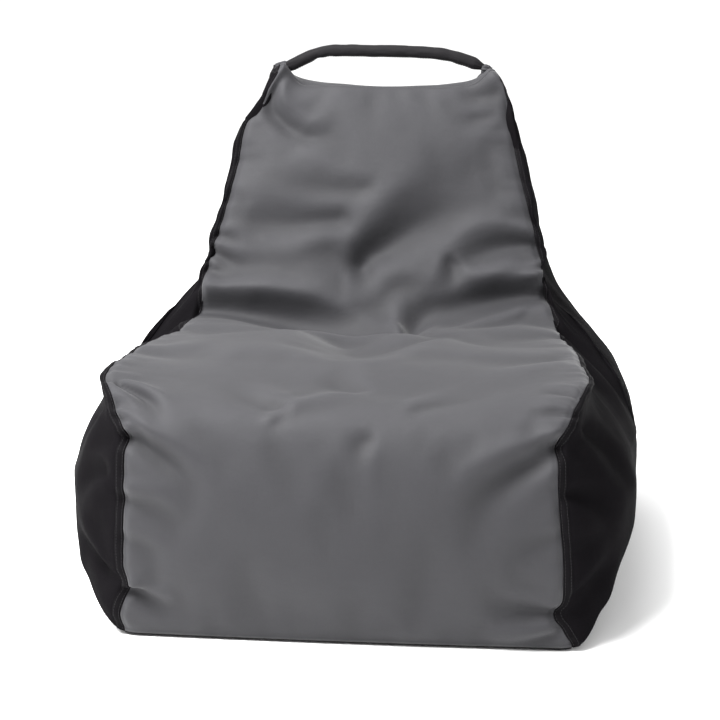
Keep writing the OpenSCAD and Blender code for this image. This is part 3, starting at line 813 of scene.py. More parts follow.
def fold_height(folds, x, y, scale=1.0):
    """Sum over the folds of a valley across each bent line, less a lean that lifts one side of it.
    The depth is the bell of the distance over the half width, and dies away at the two ends."""
    total = np.zeros(np.shape(x))
    for start, end, bend, width, depth, lean in folds:
        a, b = np.array(start), np.array(end)
        run = b - a
        size = np.linalg.norm(run)
        normal = np.array([-run[1], run[0]]) / size
        near = (np.abs(x - (a + b)[0] / 2) < abs(run[0]) / 2 + 7 * width) & (
            np.abs(y - (a + b)[1] / 2) < abs(run[1]) / 2 + 7 * width
        )
        px, py = x[near] - a[0], y[near] - a[1]
        t = (px * run[0] + py * run[1]) / size ** 2
        c = np.clip(t, 0, 1)
        d = px * normal[0] + py * normal[1] - bend * size * 4 * c * (1 - c)
        q = d / (width * (0.7 + 0.9 * c))
        taper = smooth(t * size / width / 1.6 + 0.6) * smooth((1.12 - t) / 0.75)
        shape = bell(q) - lean * q * bell(q / 2.1) * 0.9 - 0.25 * bell((np.abs(q) - 2.0) / 0.9)
        total[near] -= depth * scale * shape * taper
    return total


def coarse(count, step):
    """Every step-th index, with the last one."""
    return np.unique(np.append(np.arange(0, count, step), count - 1))


def spread_out(values, rows, cols, count):
    """Fills a fine grid from values on chosen rows and columns, in a straight line between them."""
    at = np.arange(count[1])
    wide = np.stack([[np.interp(at, cols, line) for line in values[..., k]] for k in range(3)], -1)
    down = np.arange(count[0])
    low = np.clip(np.searchsorted(rows, down, "right") - 1, 0, len(rows) - 2)
    t = ((down - rows[low]) / (rows[low + 1] - rows[low]))[:, None, None]
    return mix(wide[low], wide[low + 1], t)


def settle(points, hold, cap, frames=16, pressure=2.0, loose=0.010):
    """Cloth simulation of a panel: a coarse copy, a little larger than its place, is blown outwards
    with its edges held and its folds held in part. Gives the moves of the fine grid's points, which
    are evened out and kept under a cap."""
    rows, cols = coarse(points.shape[0], 2), coarse(points.shape[1], 2)
    start = points[np.ix_(rows, cols)]
    grip = hold[np.ix_(rows, cols)]
    mesh = bpy.data.meshes.new("settling")
    mesh.from_pydata(start.reshape(-1, 3).tolist(), [], grid_faces(len(rows), len(cols)).tolist())
    sheet = add_object("settling", mesh)
    scene = bpy.context.scene
    group = sheet.vertex_groups.new(name="held")
    for level in np.unique(np.round(grip, 1)):
        chosen = np.flatnonzero(np.round(grip, 1).ravel() == level)
        if level > 0:
            group.add(chosen.tolist(), float(level), "REPLACE")
    cloth_modifier = sheet.modifiers.new("cloth", "CLOTH")
    set_up = cloth_modifier.settings
    set_up.quality, set_up.mass, set_up.air_damping = 6, 0.25, 3.0
    set_up.tension_stiffness = set_up.compression_stiffness = 25
    set_up.shear_stiffness, set_up.bending_stiffness = 12, 4.0
    set_up.use_pressure, set_up.uniform_pressure_force = True, pressure
    set_up.shrink_min = -loose
    set_up.vertex_group_mass, set_up.pin_stiffness = "held", 1.0
    set_up.effector_weights.gravity = 0
    cloth_modifier.collision_settings.use_collision = False
    cloth_modifier.point_cache.frame_start, cloth_modifier.point_cache.frame_end = 1, frames
    for number in range(1, frames + 1):
        scene.frame_set(number)
    result = sheet.evaluated_get(bpy.context.evaluated_depsgraph_get()).data
    moved = np.empty(start.size, np.float32)
    result.vertices.foreach_get("co", moved)
    bpy.data.objects.remove(sheet)
    bpy.data.meshes.remove(mesh)
    scene.frame_set(1)
    move = moved.reshape(start.shape).astype(float) - start
    for _ in range(4):
        move[1:-1, 1:-1] = (
            move[:-2, 1:-1] + move[2:, 1:-1] + move[1:-1, :-2] + move[1:-1, 2:] + 4 * move[1:-1, 1:-1]
        ) / 8
    size = np.linalg.norm(move, axis=-1, keepdims=True)
    move *= cap * np.tanh(size / cap) / np.maximum(size, 1e-9)
    move[grip >= 0.99] = 0
    print("settled", frames, "frames, mean move", float(size.mean()), "largest", float(size.max()))
    return spread_out(move, rows, cols, points.shape[:2])


class Bag:
    """Every grid of the cover, worked out once, so that panels meet exactly along their seams."""

    FRONT, REAR, LOWER, BOTTOM, ACROSS, RINGS = 270, 150, 30, 96, 136, 62

    def __init__(self):
        self.size = sizes()
        self.outline = line = Outline(self.size)
        bunch = 0.62
        spread = np.linspace(-1, 1, self.ACROSS + 1) * math.pi / 2 * bunch
        self.v = np.sin(spread) / math.sin(math.pi / 2 * bunch)
        self.s_front = np.linspace(0, line.top, self.FRONT + 1)
        self.s_rear = np.linspace(line.top, line.zip, self.REAR + 1)
        self.s_lower = np.linspace(line.zip, line.foot, self.LOWER + 1)
        self.front = self.strip(self.s_front, FRONT_FOLDS, 0.0)
        self.front += settle(self.front, self.held(self.lift), 0.009)
        self.rear = self.strip(self.s_rear, REAR_FOLDS, 1.0)
        calm = smooth((self.s_rear - line.zip + 0.14) / 0.06)[:, None]
        self.rear += settle(self.rear, np.maximum(self.held(self.lift), calm), 0.008)
        joined = bell((self.s_rear - line.top) / 0.030)[:, None, None]
        self.rear += (self.front[-1] - self.rear[0])[None] * joined
        self.lower = self.strip(self.s_lower, (), 2.0)
        self.sides = {sign: self.flank(sign) for sign in (-1, 1)}

    def held(self, lift, depth=0.010):
        """How firmly each point is held while the cloth settles: fully at the seams, and in a fold
        by its depth."""
        hold = np.clip(-lift / depth, 0, 0.9)
        hold[[0, -1]] = 1
        hold[:, [0, -1]] = 1
        return hold

    # The seam lines, which the band of panels and the sides share

    def draw(self, s, sign):
        """How a seam is drawn in: sunk between the panels by about 5 mm, with uneven gathers."""
        rows = self.outline.rows(s)
        out = np.stack([np.zeros(len(s)), rows[:, 4], rows[:, 5]], 1)
        flat = np.full(len(s), 0.5)
        gather = ripple(s / 0.034, flat, 3.0 + sign) * 0.0012 + ripple(s / 0.013, flat, 7.0 + sign) * 0.0005
        sink = self.size.seam_sink * smooth((s + 0.02) / 0.03) * smooth((self.outline.foot + 0.02 - s) / 0.03)
        return -(out * 0.8 + np.array([0.6 * sign, 0, 0])) * sink[:, None] + out * gather[:, None]

    def shift(self, s, sign):
        """Longer and softer sways of a seam across the bag, and the pinches where folds end in it."""
        inwards = sum(depth * bell((s - place) / width) for place, depth, width in PINCHES[sign])
        flat = np.full(len(s), 0.5)
        sway = ripple(s / 0.16, flat, 11.0 + sign) * 0.0025
        end = smooth((self.outline.foot - s) / 0.03)
        move = np.zeros((len(s), 3))
        move[:, 0] = -sign * (inwards + sway) * end
        move[:, 2] = ripple(s / 0.12, flat, 15.0 + sign) * 0.0015 * end * smooth(s / 0.03)
        return move

    def ears(self, x, s):
        """The top corners rise in front of the handle's ends: a longer slope on the left."""
        past = s - self.outline.top
        inner = np.maximum(self.size.top_width / 2 + 0.002 - np.abs(x), 0)
        left = 0.025 * bell((inner - 0.008) / 0.026) + 0.007 * bell(inner / 0.070)
        right = 0.027 * bell((inner - 0.005) / 0.020)
        rising, lower = smooth((past + 0.055) / 0.05), mix(1.0, 0.55, smooth((past - 0.004) / 0.016))
        return np.where(x < 0, left, right) * rising * lower * (1 - smooth((past - 0.045) / 0.05))

    def strip(self, s, folds, seed):
        """A panel of the band: the crowned outline, then the folds, ripples and drawn-in seams. The
        seed is 0 for the front, 1 for the upper rear and 2 for the lower rear, which stays plain."""
        line = self.outline
        rows = line.rows(s)
        points = line.wall(rows, self.v[None])
        normals = grid_normals(points)
        x, along = points[..., 0], np.broadcast_to(s[:, None], points.shape[:2])
        inner = rows[:, 2, None] - np.abs(x)
        still = smooth(along / 0.02) if seed == 0 else 1.0
        lift = fold_height(folds, x, along if seed == 0 else along - line.top, self.size.folds)
        if seed == 0:
            full = 1 - np.abs(self.v[None]) ** 3
            lift -= (0.022 * bell((along - 0.405) / 0.075) - 0.006 * bell((along - 0.23) / 0.09)) * full
        if seed < 2:
            lift += (
                ripple(x / 0.15, along / 0.13, 20 + seed) * 0.0028
                + ripple(x / 0.06, along / 0.055, 24 + seed) * 0.0009
            ) * smooth(inner / 0.05)
            gathers = ripple(x * 0 + np.sign(x) * 5, along / 0.021, 30 + seed) + 0.6 * ripple(
                x / 0.08, along / 0.011, 34 + seed
            )
            lobe = 1 + 1.4 * bell((along - 0.42) / 0.09) * (seed == 0)
            lift += gathers * 0.0018 * lobe * np.exp(-inner / 0.024)
        calm = smooth((line.zip - 0.035 - along) / 0.08) if seed == 1 else 1.0
        points = points + normals * (lift * still * calm)[..., None]
        points[..., 2] += self.ears(x, along)
        if seed == 0:
            points[..., 1] += 0.005 * bell(along / 0.013)
        for sign in (-1, 1):
            near = np.where(sign * x >= 0, 1.0, 0.0)
            points += self.draw(s, sign)[:, None] * (near * bell(inner / 0.0085))[..., None]
            points += self.shift(s, sign)[:, None] * (near * bell(inner / 0.045))[..., None]
        self.lift = lift
        return points

    def loop(self, sign):
        """The edge of a side all the way round: up the front, down the rear, back along the base."""
        col = -1 if sign > 0 else 0
        band = np.concatenate([self.front[:, col], self.rear[1:, col], self.lower[1:, col]])
        t = np.linspace(0, 1, self.BOTTOM + 2)[1:-1, None]
        return np.concatenate([band, mix(band[-1], band[0], t)])

    def flank(self, sign):
        """A side: the smooth belly, then folds and ripples along its normal, out to the shared edge."""
        line = self.outline
        s = np.concatenate([self.s_front, self.s_rear[1:], self.s_lower[1:]])
        rows = np.concatenate([line.rows(s), line.base_rows(self.BOTTOM)])
        nominal = line.wall(rows, np.array([[float(sign)]]))[:, 0]
        q = np.linspace(0, 1, self.RINGS + 1)
        share = q + 0.4 * q * (1 - q)
        points = line.side(nominal, sign, share)
        edge = self.loop(sign)
        inner = np.linalg.norm(points - nominal[None], axis=-1)
        normals = grid_normals(points, True) * sign
        y, z = points[..., 1], points[..., 2]
        lift = fold_height(SIDE_FOLDS, y + 0.012 * sign, z + 0.006 * sign, self.size.folds)
        lift += (
            ripple(y / 0.13, z / 0.10, 40 + sign) * 0.0028 + ripple(y / 0.055, z / 0.05, 44 + sign) * 0.0010
        ) * smooth(inner / 0.06)
        turn = np.concatenate([s, line.foot + 0.02 + np.arange(self.BOTTOM) * 0.0082])[None]
        gathers = ripple(turn / 0.030 + inner * 4, inner / 0.12, 50 + sign) + 0.5 * ripple(
            turn / 0.014 + inner * 6, inner / 0.08, 54 + sign
        )
        lift += gathers * 0.0030 * (np.exp(-inner / 0.045) - np.exp(-inner / 0.006))
        points = points + normals * lift[..., None]
        points[..., 2] = np.maximum(points[..., 2], 0.0008 + 0.003 * smooth(inner / 0.05))
        move = edge - nominal
        soft = self.shift(s, sign)
        near_front = bell(np.linspace(1, 0, self.BOTTOM + 2)[1:-1] / 0.09)
        soft = np.concatenate([soft, soft[0] * near_front[:, None]])
        sharp = move - soft
        points += soft[None] * bell(inner / 0.06)[..., None] + sharp[None] * bell(inner / 0.010)[..., None]
        points[-1] = edge
        return points

    def seam_line(self, sign, distance, first, last):
        """Points and normals on a side at a distance in from its edge, between two places on its loop."""
        grid = self.sides[sign]
        normals = grid_normals(grid, True) * sign
        rows = grid[::-1][:, first:last + 1]
        outs = normals[::-1][:, first:last + 1]
        gaps = np.linalg.norm(np.diff(rows, axis=0), axis=-1)
        at = np.concatenate([np.zeros((1, rows.shape[1])), np.cumsum(gaps, 0)])
        k = np.clip((at < distance).sum(0) - 1, 0, len(at) - 2)
        j = np.arange(rows.shape[1])
        t = ((distance - at[k, j]) / np.maximum(at[k + 1, j] - at[k, j], 1e-9))[:, None]
        return mix(rows[k, j], rows[k + 1, j], t), unit(mix(outs[k, j], outs[k + 1, j], t))


BAG = {}


def bag():
    if not BAG:
        BAG["cover"] = Bag()
    return BAG["cover"]


def ridges(points, around=False):
    """How far a grid stands out from its own smoothed shape, from -1 in a valley to 1 on a ridge."""
    flat = points.copy()
    for _ in range(6):
        if around:
            flat = (np.roll(flat, 2, 1) + np.roll(flat, -2, 1) + 2 * flat) / 4
        else:
            flat[:, 2:-2] = (flat[:, :-4] + flat[:, 4:] + 2 * flat[:, 2:-2]) / 4
        flat[2:-2] = (flat[:-4] + flat[4:] + 2 * flat[2:-2]) / 4
    normals = grid_normals(points, around)
    return np.clip(((points - flat) * normals).sum(-1) / 0.0016, -1, 1)


def sheet_piece(name, points, uv, slot, nodes):
    """A sewn panel from its grid, with the cloth's thickness."""
    # The ridge mark lightens the cloth's colour on ridges and darkens it in valleys: painted highlight and
    # painted shade.
    piece = make_mesh(name, points, grid_faces(*points.shape[:2]), slot, uv, {"ridge": ridges(points)})
    thicken(piece, sizes().cloth)
    place_piece(piece, "bag", slot, *nodes)
    return piece


class BAG_OT_front(bpy.types.Operator):
    """Front panel: one long sheet up the front, over the seat and up the backrest"""

    bl_idname = "bag.front"
    bl_label = "Front panel"
    bl_options = {"REGISTER", "UNDO"}

    def execute(self, context):
        b = bag()
        x = b.front[..., 0]
        uv = np.stack([x, np.broadcast_to(b.s_front[:, None], x.shape)], -1)
        sheet_piece("front_cover", b.front, uv, "grey_weave", ["front_panel"])
        return {"FINISHED"}


class BAG_OT_rear(bpy.types.Operator):
    """Rear panels, with the opening of the zip between them"""

    bl_idname = "bag.rear"
    bl_label = "Rear panels"
    bl_options = {"REGISTER", "UNDO"}

    def execute(self, context):
        b = bag()
        half, hem = (COIL[0][1].x - COIL[0][0].x) / 2 + 0.004, 0.0125
        for name, grid, s, node, sign in (
            ("rear_cover_upper", b.rear, b.s_rear, "rear_panel_upper", 1),
            ("rear_cover_lower", b.lower, b.s_lower, "rear_panel_lower", -1),
        ):
            points = grid.copy()
            x = points[..., 0]
            gap = 0.0068 * (smooth((half - np.abs(x)) / 0.006)) + 0.0002
            at = np.broadcast_to(s[:, None], x.shape)
            room = np.abs(at - b.outline.zip)
            points[..., 2] += sign * gap * np.clip(1 - room / 0.05, 0, 1)
            roll = bell(room / 0.0035) * smooth((half + 0.01 - np.abs(x)) / 0.01)
            points[..., 1] -= 0.0006 * roll
            points[..., 1] += 0.0009 * bell((room - 0.006) / 0.004)
            points[..., 1] -= 0.0010 * bell((room - hem) / 0.0016)
            uv = np.stack([x, at], -1)
            sheet_piece(name, points, uv, "grey_weave", [node])
            row = int(np.argmin(np.abs(np.abs(s - b.outline.zip) - hem)))
            inside = np.abs(points[row, :, 0]) < b.size.rear_width / 2 - 0.012
            line, out = points[row][inside], grid_normals(points)[row][inside]
            pitch = b.size.stitch
            sewn = stitches(name + "_stitches", *along_line(line, out, pitch), "thread", pitch * 0.8, 0.00042)
            place_piece(sewn, "bag", "seam_fold")
        return {"FINISHED"}


class BAG_OT_base(bpy.types.Operator):
    """Bottom panel: flat on the floor, and turned up to the lower seam"""

    bl_idname = "bag.base"
    bl_label = "Bottom panel"
    bl_options = {"REGISTER", "UNDO"}

    def execute(self, context):
        b = bag()
        spread = lambda n: np.sin(np.linspace(-1, 1, n) * math.pi / 2)
        v = spread(121)
        front, rear = (
            np.stack([np.interp(v, b.v, row[:, k]) for k in range(3)], 1) for row in (b.front[0], b.lower[-1])
        )
        t = (spread(141)[:, None] + 1) / 2
        points = mix(front[None], rear[None], t[..., None])
        for col in (0, -1):
            points[:, col] = mix(front[col], rear[col], t)
        run = np.abs(rear[:, 1] - front[:, 1]).mean()
        x = points[..., 0]
        edge = np.minimum(np.minimum(t, 1 - t) * run, np.abs(x - np.sign(x) * np.abs(front[-1, 0])))
        rise = 1 - np.sqrt(np.clip(1 - np.clip(1 - edge / 0.011, 0, 1) ** 2, 0, 1))
        points[..., 2] = mix(0.0006, points[..., 2], rise) + 0.0002 * (1 + ripple(
            points[..., 0] / 0.05, points[..., 1] / 0.05, 60
        )) * (1 - rise)
        faces = grid_faces(*points.shape[:2])[:, ::-1]
        piece = make_mesh(
            "base_cover", points, faces, "base_weave", points[..., :2], {"ridge": np.zeros(points.shape[:2])}
        )
        thicken(piece, 0.002)
        place_piece(piece, "bag", "base_weave", "base_panel")
        return {"FINISHED"}


class BAG_OT_sides(bpy.types.Operator):
    """Side panels: the two black bellies"""

    bl_idname = "bag.sides"
    bl_label = "Side panels"
    bl_options = {"REGISTER", "UNDO"}

    def execute(self, context):
        b = bag()
        for sign, word in HANDS:
            grid = b.sides[sign]
            rings, n = grid.shape[:2]
            points = np.concatenate([grid[0].mean(0)[None], grid[1:].reshape(-1, 3)])
            quads = grid_faces(rings - 1, n, True, 1)
            j = np.arange(n)
            fan = np.stack([np.zeros(n, int), 1 + (j + 1) % n, 1 + j], 1)
            faces = quads[:, ::sign].tolist() + fan[:, ::sign].tolist()
            # The ridge mark lightens the black cloth on ridges and darkens it in valleys: painted highlight and
            # painted shade.
            mark = np.concatenate([[0.0], ridges(grid, True)[1:].ravel()])
            piece = make_mesh(
                word + "_side_cover", points, faces, "black_weave", points[:, 1:], {"ridge": mark * sign}
            )
            thicken(piece, b.size.cloth)
            place_piece(piece, "bag", "black_weave", word + "_side_panel")
        return {"FINISHED"}


class BAG_OT_seams(bpy.types.Operator):
    """Folded seams: bands of turned-in cloth on the sides, each with two rows of topstitching"""

    bl_idname = "bag.seams"
    bl_label = "Folded seams"
    bl_options = {"REGISTER", "UNDO"}

    def execute(self, context):
        b = bag()
        w, h, pitch, gap = b.size.seam_width, b.size.seam_height, b.size.stitch, 0.0004
        profile = (
            (0.03, -0.4), (0.04, 0.45), (0.10, 0.85), (0.19, 0.55), (0.28, 0.92), (0.5, 1.0),
            (0.72, 0.92), (0.81, 0.55), (0.90, 0.85), (0.98, 0.40), (1.0, -0.4), (0.5, -0.4),
        )
        top = b.FRONT
        foot = top + b.REAR + b.LOWER
        for sign, word in HANDS:
            for place, first, last in (("front", 0, top), ("rear", top, foot)):
                rings = []
                for share, height in profile:
                    line, out = b.seam_line(sign, share * w + gap, first, last)
                    rings.append(line + out * (height * h))
                points, faces = tube_mesh(np.stack(rings, 1))
                band = make_mesh(f"{word}_{place}_seam_fold", points, faces, "seam_fold", points[:, 1:])
                place_piece(band, "bag", "seam_fold", f"{word}_{place}_seam")
                parts = []
                for share in (0.19, 0.81):
                    line, out = b.seam_line(sign, share * w + gap, first, last)
                    parts.append(along_line(line + out * (0.62 * h), out, pitch))
                centres, along, out = (np.concatenate(group) for group in zip(*parts))
                sewn = stitches(
                    f"{word}_{place}_seam_stitches", centres, along, out, "thread", pitch * 0.8, 0.00045
                )
                place_piece(sewn, "bag", "seam_fold")
        return {"FINISHED"}


# Handle -----------------------------------------------------------------------------------------

def pivot():
    """The line that the handle swings about: its y and z."""
    low, high = CREST
    return (low.y + high.y) / 2, high.z - (high.y - low.y) / 2


class BAG_OT_handle(bpy.types.Operator):
    """Padded handle: a stuffed sleeve, bent sharply near one end, with its seam below"""

    bl_idname = "bag.handle"
    bl_label = "Handle"
    bl_options = {"REGISTER", "UNDO"}

    def execute(self, context):
        y, z = pivot()
        reach, bend, soft_bend = 0.179, -0.103, 0.118
        line = np.array([
            (-reach, 0.000), (-0.172, 0.000), (-0.163, 0.0005), (-0.150, 0.004), (-0.132, 0.0130),
            (-0.112, 0.0222), (-0.094, 0.0272), (-0.070, 0.0290), (-0.020, 0.0292), (0.040, 0.0285),
            (0.085, 0.0262), (0.115, 0.0215), (0.140, 0.0140), (0.158, 0.0070), (0.169, 0.0018),
            (0.174, 0.000), (reach, 0.000),
        ])
        line[:, 1] *= 0.031 / 0.0312
        path = even(np.column_stack([line[:, 0], 0 * line[:, 0], line[:, 1]]), 300)
        path = path + np.array([0, y, z])
        x = path[:, 0]
        path[:, 1] += 0.0016 * ripple(x / 0.09, x * 0, 70) * smooth((0.15 - np.abs(x)) / 0.05)
        around = 40
        turn = circle(around)
        end = reach - np.abs(x)
        thick = mix(0.0044, sizes().grip_radius, smooth((end - 0.012) / 0.020))
        kink = bell((x - bend) / 0.016)
        flat = 1 + 0.10 * kink[:, None] * np.cos(2 * turn)[None]
        inner_side = np.clip(-np.sin(turn), 0, 1)[None]
        x_col, wave = x[:, None], np.cos(turn)[None]
        wrinkles = (
            0.0007 * np.sin((x_col - bend) / 0.0038 + 0.6 * wave) * bell((x_col - bend) / 0.020)
            + 0.0004 * np.sin((x_col - soft_bend) / 0.0046 + 0.8 * wave) * bell((x_col - 0.122) / 0.030)
        ) * (0.25 + inner_side)
        soft = 0.00045 * ripple(x_col / 0.016, turn[None] * 1.3 + 0 * x_col, 72)
        pleats = 0.0006 * np.cos(9 * turn)[None] * bell((end - 0.018) / 0.012)[:, None]
        seam = 0.0004 * bell((turn - 1.42 * math.pi) / 0.12) - 0.0007 * bell((turn - 1.5 * math.pi) / 0.10)
        away = smooth((end - 0.02) / 0.01)[:, None]
        radius = thick[:, None] * flat + wrinkles + pleats + (soft + seam[None]) * away
        rings = sweep(path, on_circle(radius, turn), (0, 0, 1))
        at = steps(path)
        uv = np.stack(np.broadcast_arrays(at[:, None], turn[None] * sizes().grip_radius), -1).reshape(-1, 2)
        uv = np.concatenate([uv, [[0, 0], [at[-1], 0]]])
        piece = tube("handle_grip", rings, "handle_cloth", uv)
        place_piece(piece, "handle", "handle_cloth", "handle_sleeve")
        inside = np.abs(x) < 0.150
        k = int(round(0.735 * around))
        out = unit(rings[:, k] - path)
        line = (rings[:, k] + out * 0.0001)[inside]
        sewn = stitches(
            "handle_stitches", *along_line(line, out[inside], 0.0042), "thread", 0.0033, 0.0004
        )
        place_piece(sewn, "handle", "handle_cloth")
        cut = slice(12, -12)
        girth = (thick[cut] - 0.0017 - 0.001 * kink[cut])[:, None, None]
        foam = tube(
            "handle_foam", sweep(path[cut], girth * on_circle(1, circle(20))[None], (0, 0, 1)), "handle_padding"
        )
        place_piece(foam, "handle", "handle_padding", "handle_core")
        return {"FINISHED"}


class BAG_OT_corners(bpy.types.Operator):
    """Gathered corners: cloth drawn up in pleats round each end of the handle"""

    bl_idname = "bag.corners"
    bl_label = "Gathered corners"
    bl_options = {"REGISTER", "UNDO"}

    def execute(self, context):
        y, z = pivot()
        around, along = 72, 46
        turn = circle(around)
        for sign, word in HANDS:
            mouth = (0.161, 0, 0.001) if sign > 0 else (0.156, 0, 0.003)
            knots = [
                (0.150, -0.006, -0.052), (0.157, -0.005, -0.034), (0.165, -0.003, -0.017), (0.1700, 0, -0.007),
                (0.170, 0, -0.0005), (0.166, 0, 0.0004), mouth,
            ]
            path = even([(sign * a, y + c, z + d) for a, c, d in knots], along)
            t = np.linspace(0, 1, along)[:, None]
            places = (0, 0.25, 0.5, 0.68, 0.84, 0.93, 0.97, 1)
            radius = np.interp(t, places, (15, 15, 12.0, 9.2, 8.0, 8.0, 7.8, 6.6)) * 0.001
            grow = smooth(t / 0.55) * (1 - 0.6 * smooth((t - 0.9) / 0.1))
            phase = 0.9 * t + 0.35 * sign
            pleats = np.cos(9 * turn[None] + 4 * phase) + 0.5 * np.cos(5 * turn[None] - 3 * phase)
            r = radius + 0.0011 * pleats * grow + 0.0005 * ripple(turn[None] * 2.5, t * 8, 80 + sign)
            section = np.stack([r * np.cos(turn), r * np.sin(turn) * (1 - 0.12 * (1 - t))], -1)
            rings = sweep(path, section, (0, 1.0, 0.2))
            points = rings.reshape(-1, 3)
            faces = grid_faces(len(path), around, True)
            if ((rings[20] - path[20]) * grid_normals(rings, True)[20]).sum() < 0:
                faces = faces[:, ::-1]
            uv = np.stack(np.broadcast_arrays(turn[None] * 0.01, steps(path)[:, None]), -1)
            piece = make_mesh(word + "_gathered_corner", points, faces, "gathered_corner", uv)
            thicken(piece, 0.0012)
            place_piece(piece, "bag", "gathered_corner", word + "_handle_anchor")
        return {"FINISHED"}


# Zips -------------------------------------------------------------------------------------------

def refinish(mesh, slot):
    mesh.materials.clear()
    mesh.materials.append(material(slot))


def smoothed_copy(name, node, body, slot, width=0.00022):
    """A copy of a hard CAD piece with its doubles merged and its edges rounded off."""
    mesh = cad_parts[node].data.copy()
    merge_doubles(mesh, 1e-6, 0.01)
    refinish(mesh, slot)
    piece = add_object(name, mesh)
    soft = piece.modifiers.new("edges", "BEVEL")
    soft.width, soft.segments, soft.limit_method, soft.angle_limit = width, 2, "ANGLE", 0.6
    soft.harden_normals = False
    place_piece(piece, body, slot, node)
    return piece


def coil_rings(low, high, sign, pitch):
    """A zip's coil: a wire that winds round a flattened loop while it moves on by the pitch each turn."""
    wire = 0.00034
    turns = int((high.x - low.x - 2 * wire) / pitch)
    u = np.linspace(0, turns, turns * 8 + 1)
    angle = 2 * math.pi * u + (0 if sign > 0 else math.pi)
    middle_y, middle_z = (low.y + high.y) / 2, (low.z + high.z) / 2
    a, b = (high.y - low.y) / 2 - wire, (high.z - low.z) / 2 - wire + 0.00005
    squash = lambda t: np.sign(t) * np.abs(t) ** 0.75
    path = np.stack([
        low.x + wire + u * pitch, middle_y + a * squash(np.cos(angle)), middle_z + b * squash(np.sin(angle))
    ], 1)
    return sweep(path, on_circle(wire, circle(5)), (1, 0, 0))


class BAG_OT_zip(bpy.types.Operator):
    """Zip of the cover: woven tapes, a nylon coil, stops, and a slider with its pull"""

    bl_idname = "bag.zip"
    bl_label = "Zip"
    bl_options = {"REGISTER", "UNDO"}

    def execute(self, context):
        for word, sign, tape, coil in (("upper", 1, ZIP[0], COIL[0]), ("lower", -1, ZIP[1], COIL[1])):
            low, high = tape
            x = np.linspace(low.x, high.x, 90)
            path = np.stack([x, np.full(90, (low.y + high.y) / 2), np.full(90, (low.z + high.z) / 2)], 1)
            half, t = (high.z - low.z) / 2, (high.y - low.y) / 2
            across = np.array([-1, -0.97, -0.93, -0.5, 0.0, 0.5, 0.93, 0.97, 1.0]) * half
            bead = np.array([0.4, 0.9, 1.0, 0.92, 0.92, 0.92, 1.0, 0.9, 0.4]) * t
            wide, thick = np.concatenate([across, across[::-1]]), np.concatenate([bead, -bead[::-1]])
            rings = path[:, None] + np.stack([0 * wide, thick, wide], 1)[None]
            woven = tube(f"zip_tape_{word}_woven", rings, "zip_tape")
            place_piece(woven, "bag", "zip_tape", f"zip_tape_{word}")
            wound = tube(f"zip_coil_{word}_wound", coil_rings(*coil, sign, sizes().coil_pitch), "zip_coil")
            place_piece(wound, "bag", "zip_coil", f"zip_coil_{word}")
        smoothed_copy("zip_stops_rounded", "zip_stops", "bag", "zip_metal")
        smoothed_copy("zip_slider_rounded", "zip_slider", "slider", "zip_metal")
        smoothed_copy("zip_pull_rounded", "zip_pull", "pull", "zip_metal")
        return {"FINISHED"}


class BAG_OT_liner(bpy.types.Operator):
    """Liner and filling inside the cover, and the finish of the liner's zip"""

    bl_idname = "bag.liner"
    bl_label = "Liner and filling"
    bl_options = {"REGISTER", "UNDO"}

    def shell(self, inset):
        """The band and the two sides of a closed bag inside the cover, at an inset that depends on
        the place: small by the rear zips and larger under the folds."""
        line = bag().outline
        under, clear = 24, 0.012
        s = np.concatenate([np.linspace(0, line.top, 70), np.linspace(line.top, line.foot, 50)[1:]])
        rows = np.concatenate([line.rows(s), line.base_rows(under)])
        at = np.concatenate([s, np.full(under, line.foot)])
        by_folds = 0.030 * smooth((at - 0.30) / 0.1) * (1 - smooth((at - 1.0) / 0.12))
        deep = inset + 0.016 * (1 - smooth((at - line.zip + 0.20) / 0.12)) + by_folds
        rows[:, 3] *= 0.8
        v = np.linspace(-1, 1, 25)[None]
        band = line.wall(rows, v, deep[:, None])
        band[..., 2] = np.maximum(band[..., 2], clear)
        band[-under:, :, 2] = clear
        sides = {}
        for sign in (-1, 1):
            edge = band[:, -1 if sign > 0 else 0]
            sides[sign] = line.side(edge, sign, np.linspace(0, 1, 19), inset + 0.038)
            sides[sign][-1] = edge
        return band, sides

    def execute(self, context):
        cover = 0.008
        band, sides = self.shell(cover)
        closed = np.concatenate([band, band[:1]])
        wrap = make_mesh("liner_band", closed, grid_faces(*closed.shape[:2]), "liner_cloth")
        thicken(wrap, 0.0008)
        place_piece(wrap, "bag", "liner_cloth", "liner_wrap")
        for sign, word in HANDS:
            grid = sides[sign]
            faces = grid_faces(*grid.shape[:2], True)[:, ::sign]
            piece = make_mesh(f"liner_{word}_cover", grid, faces, "liner_cloth")
            merge_doubles(piece.data, 1e-5)
            thicken(piece, 0.0008)
            place_piece(piece, "bag", "liner_cloth", f"liner_{word}_side")
        band, sides = self.shell(cover + 0.004)
        closed = np.concatenate([band, band[:1]])
        points, faces = [closed.reshape(-1, 3)], [grid_faces(*closed.shape[:2])]
        start = len(points[0])
        for sign in (-1, 1):
            grid = sides[sign]
            points.append(grid.reshape(-1, 3))
            faces.append(grid_faces(*grid.shape[:2], True, start)[:, ::sign])
            start += len(points[-1])
        fill = make_mesh("beads_settled", np.concatenate(points), np.concatenate(faces), "beads")
        merge_doubles(fill.data, 1e-5)
        place_piece(fill, "bag", "beads", "bead_filling")
        for node, slot in (
            ("liner_zip_tapes", "liner_zip_tape"), ("liner_zip_coils", "liner_zip_coil"),
            ("liner_zip_stops", "liner_zip_metal"), ("liner_zip_slider", "liner_zip_metal"),
        ):
            refinish(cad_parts[node].data, slot)
        return {"FINISHED"}


# Stage ------------------------------------------------------------------------------------------

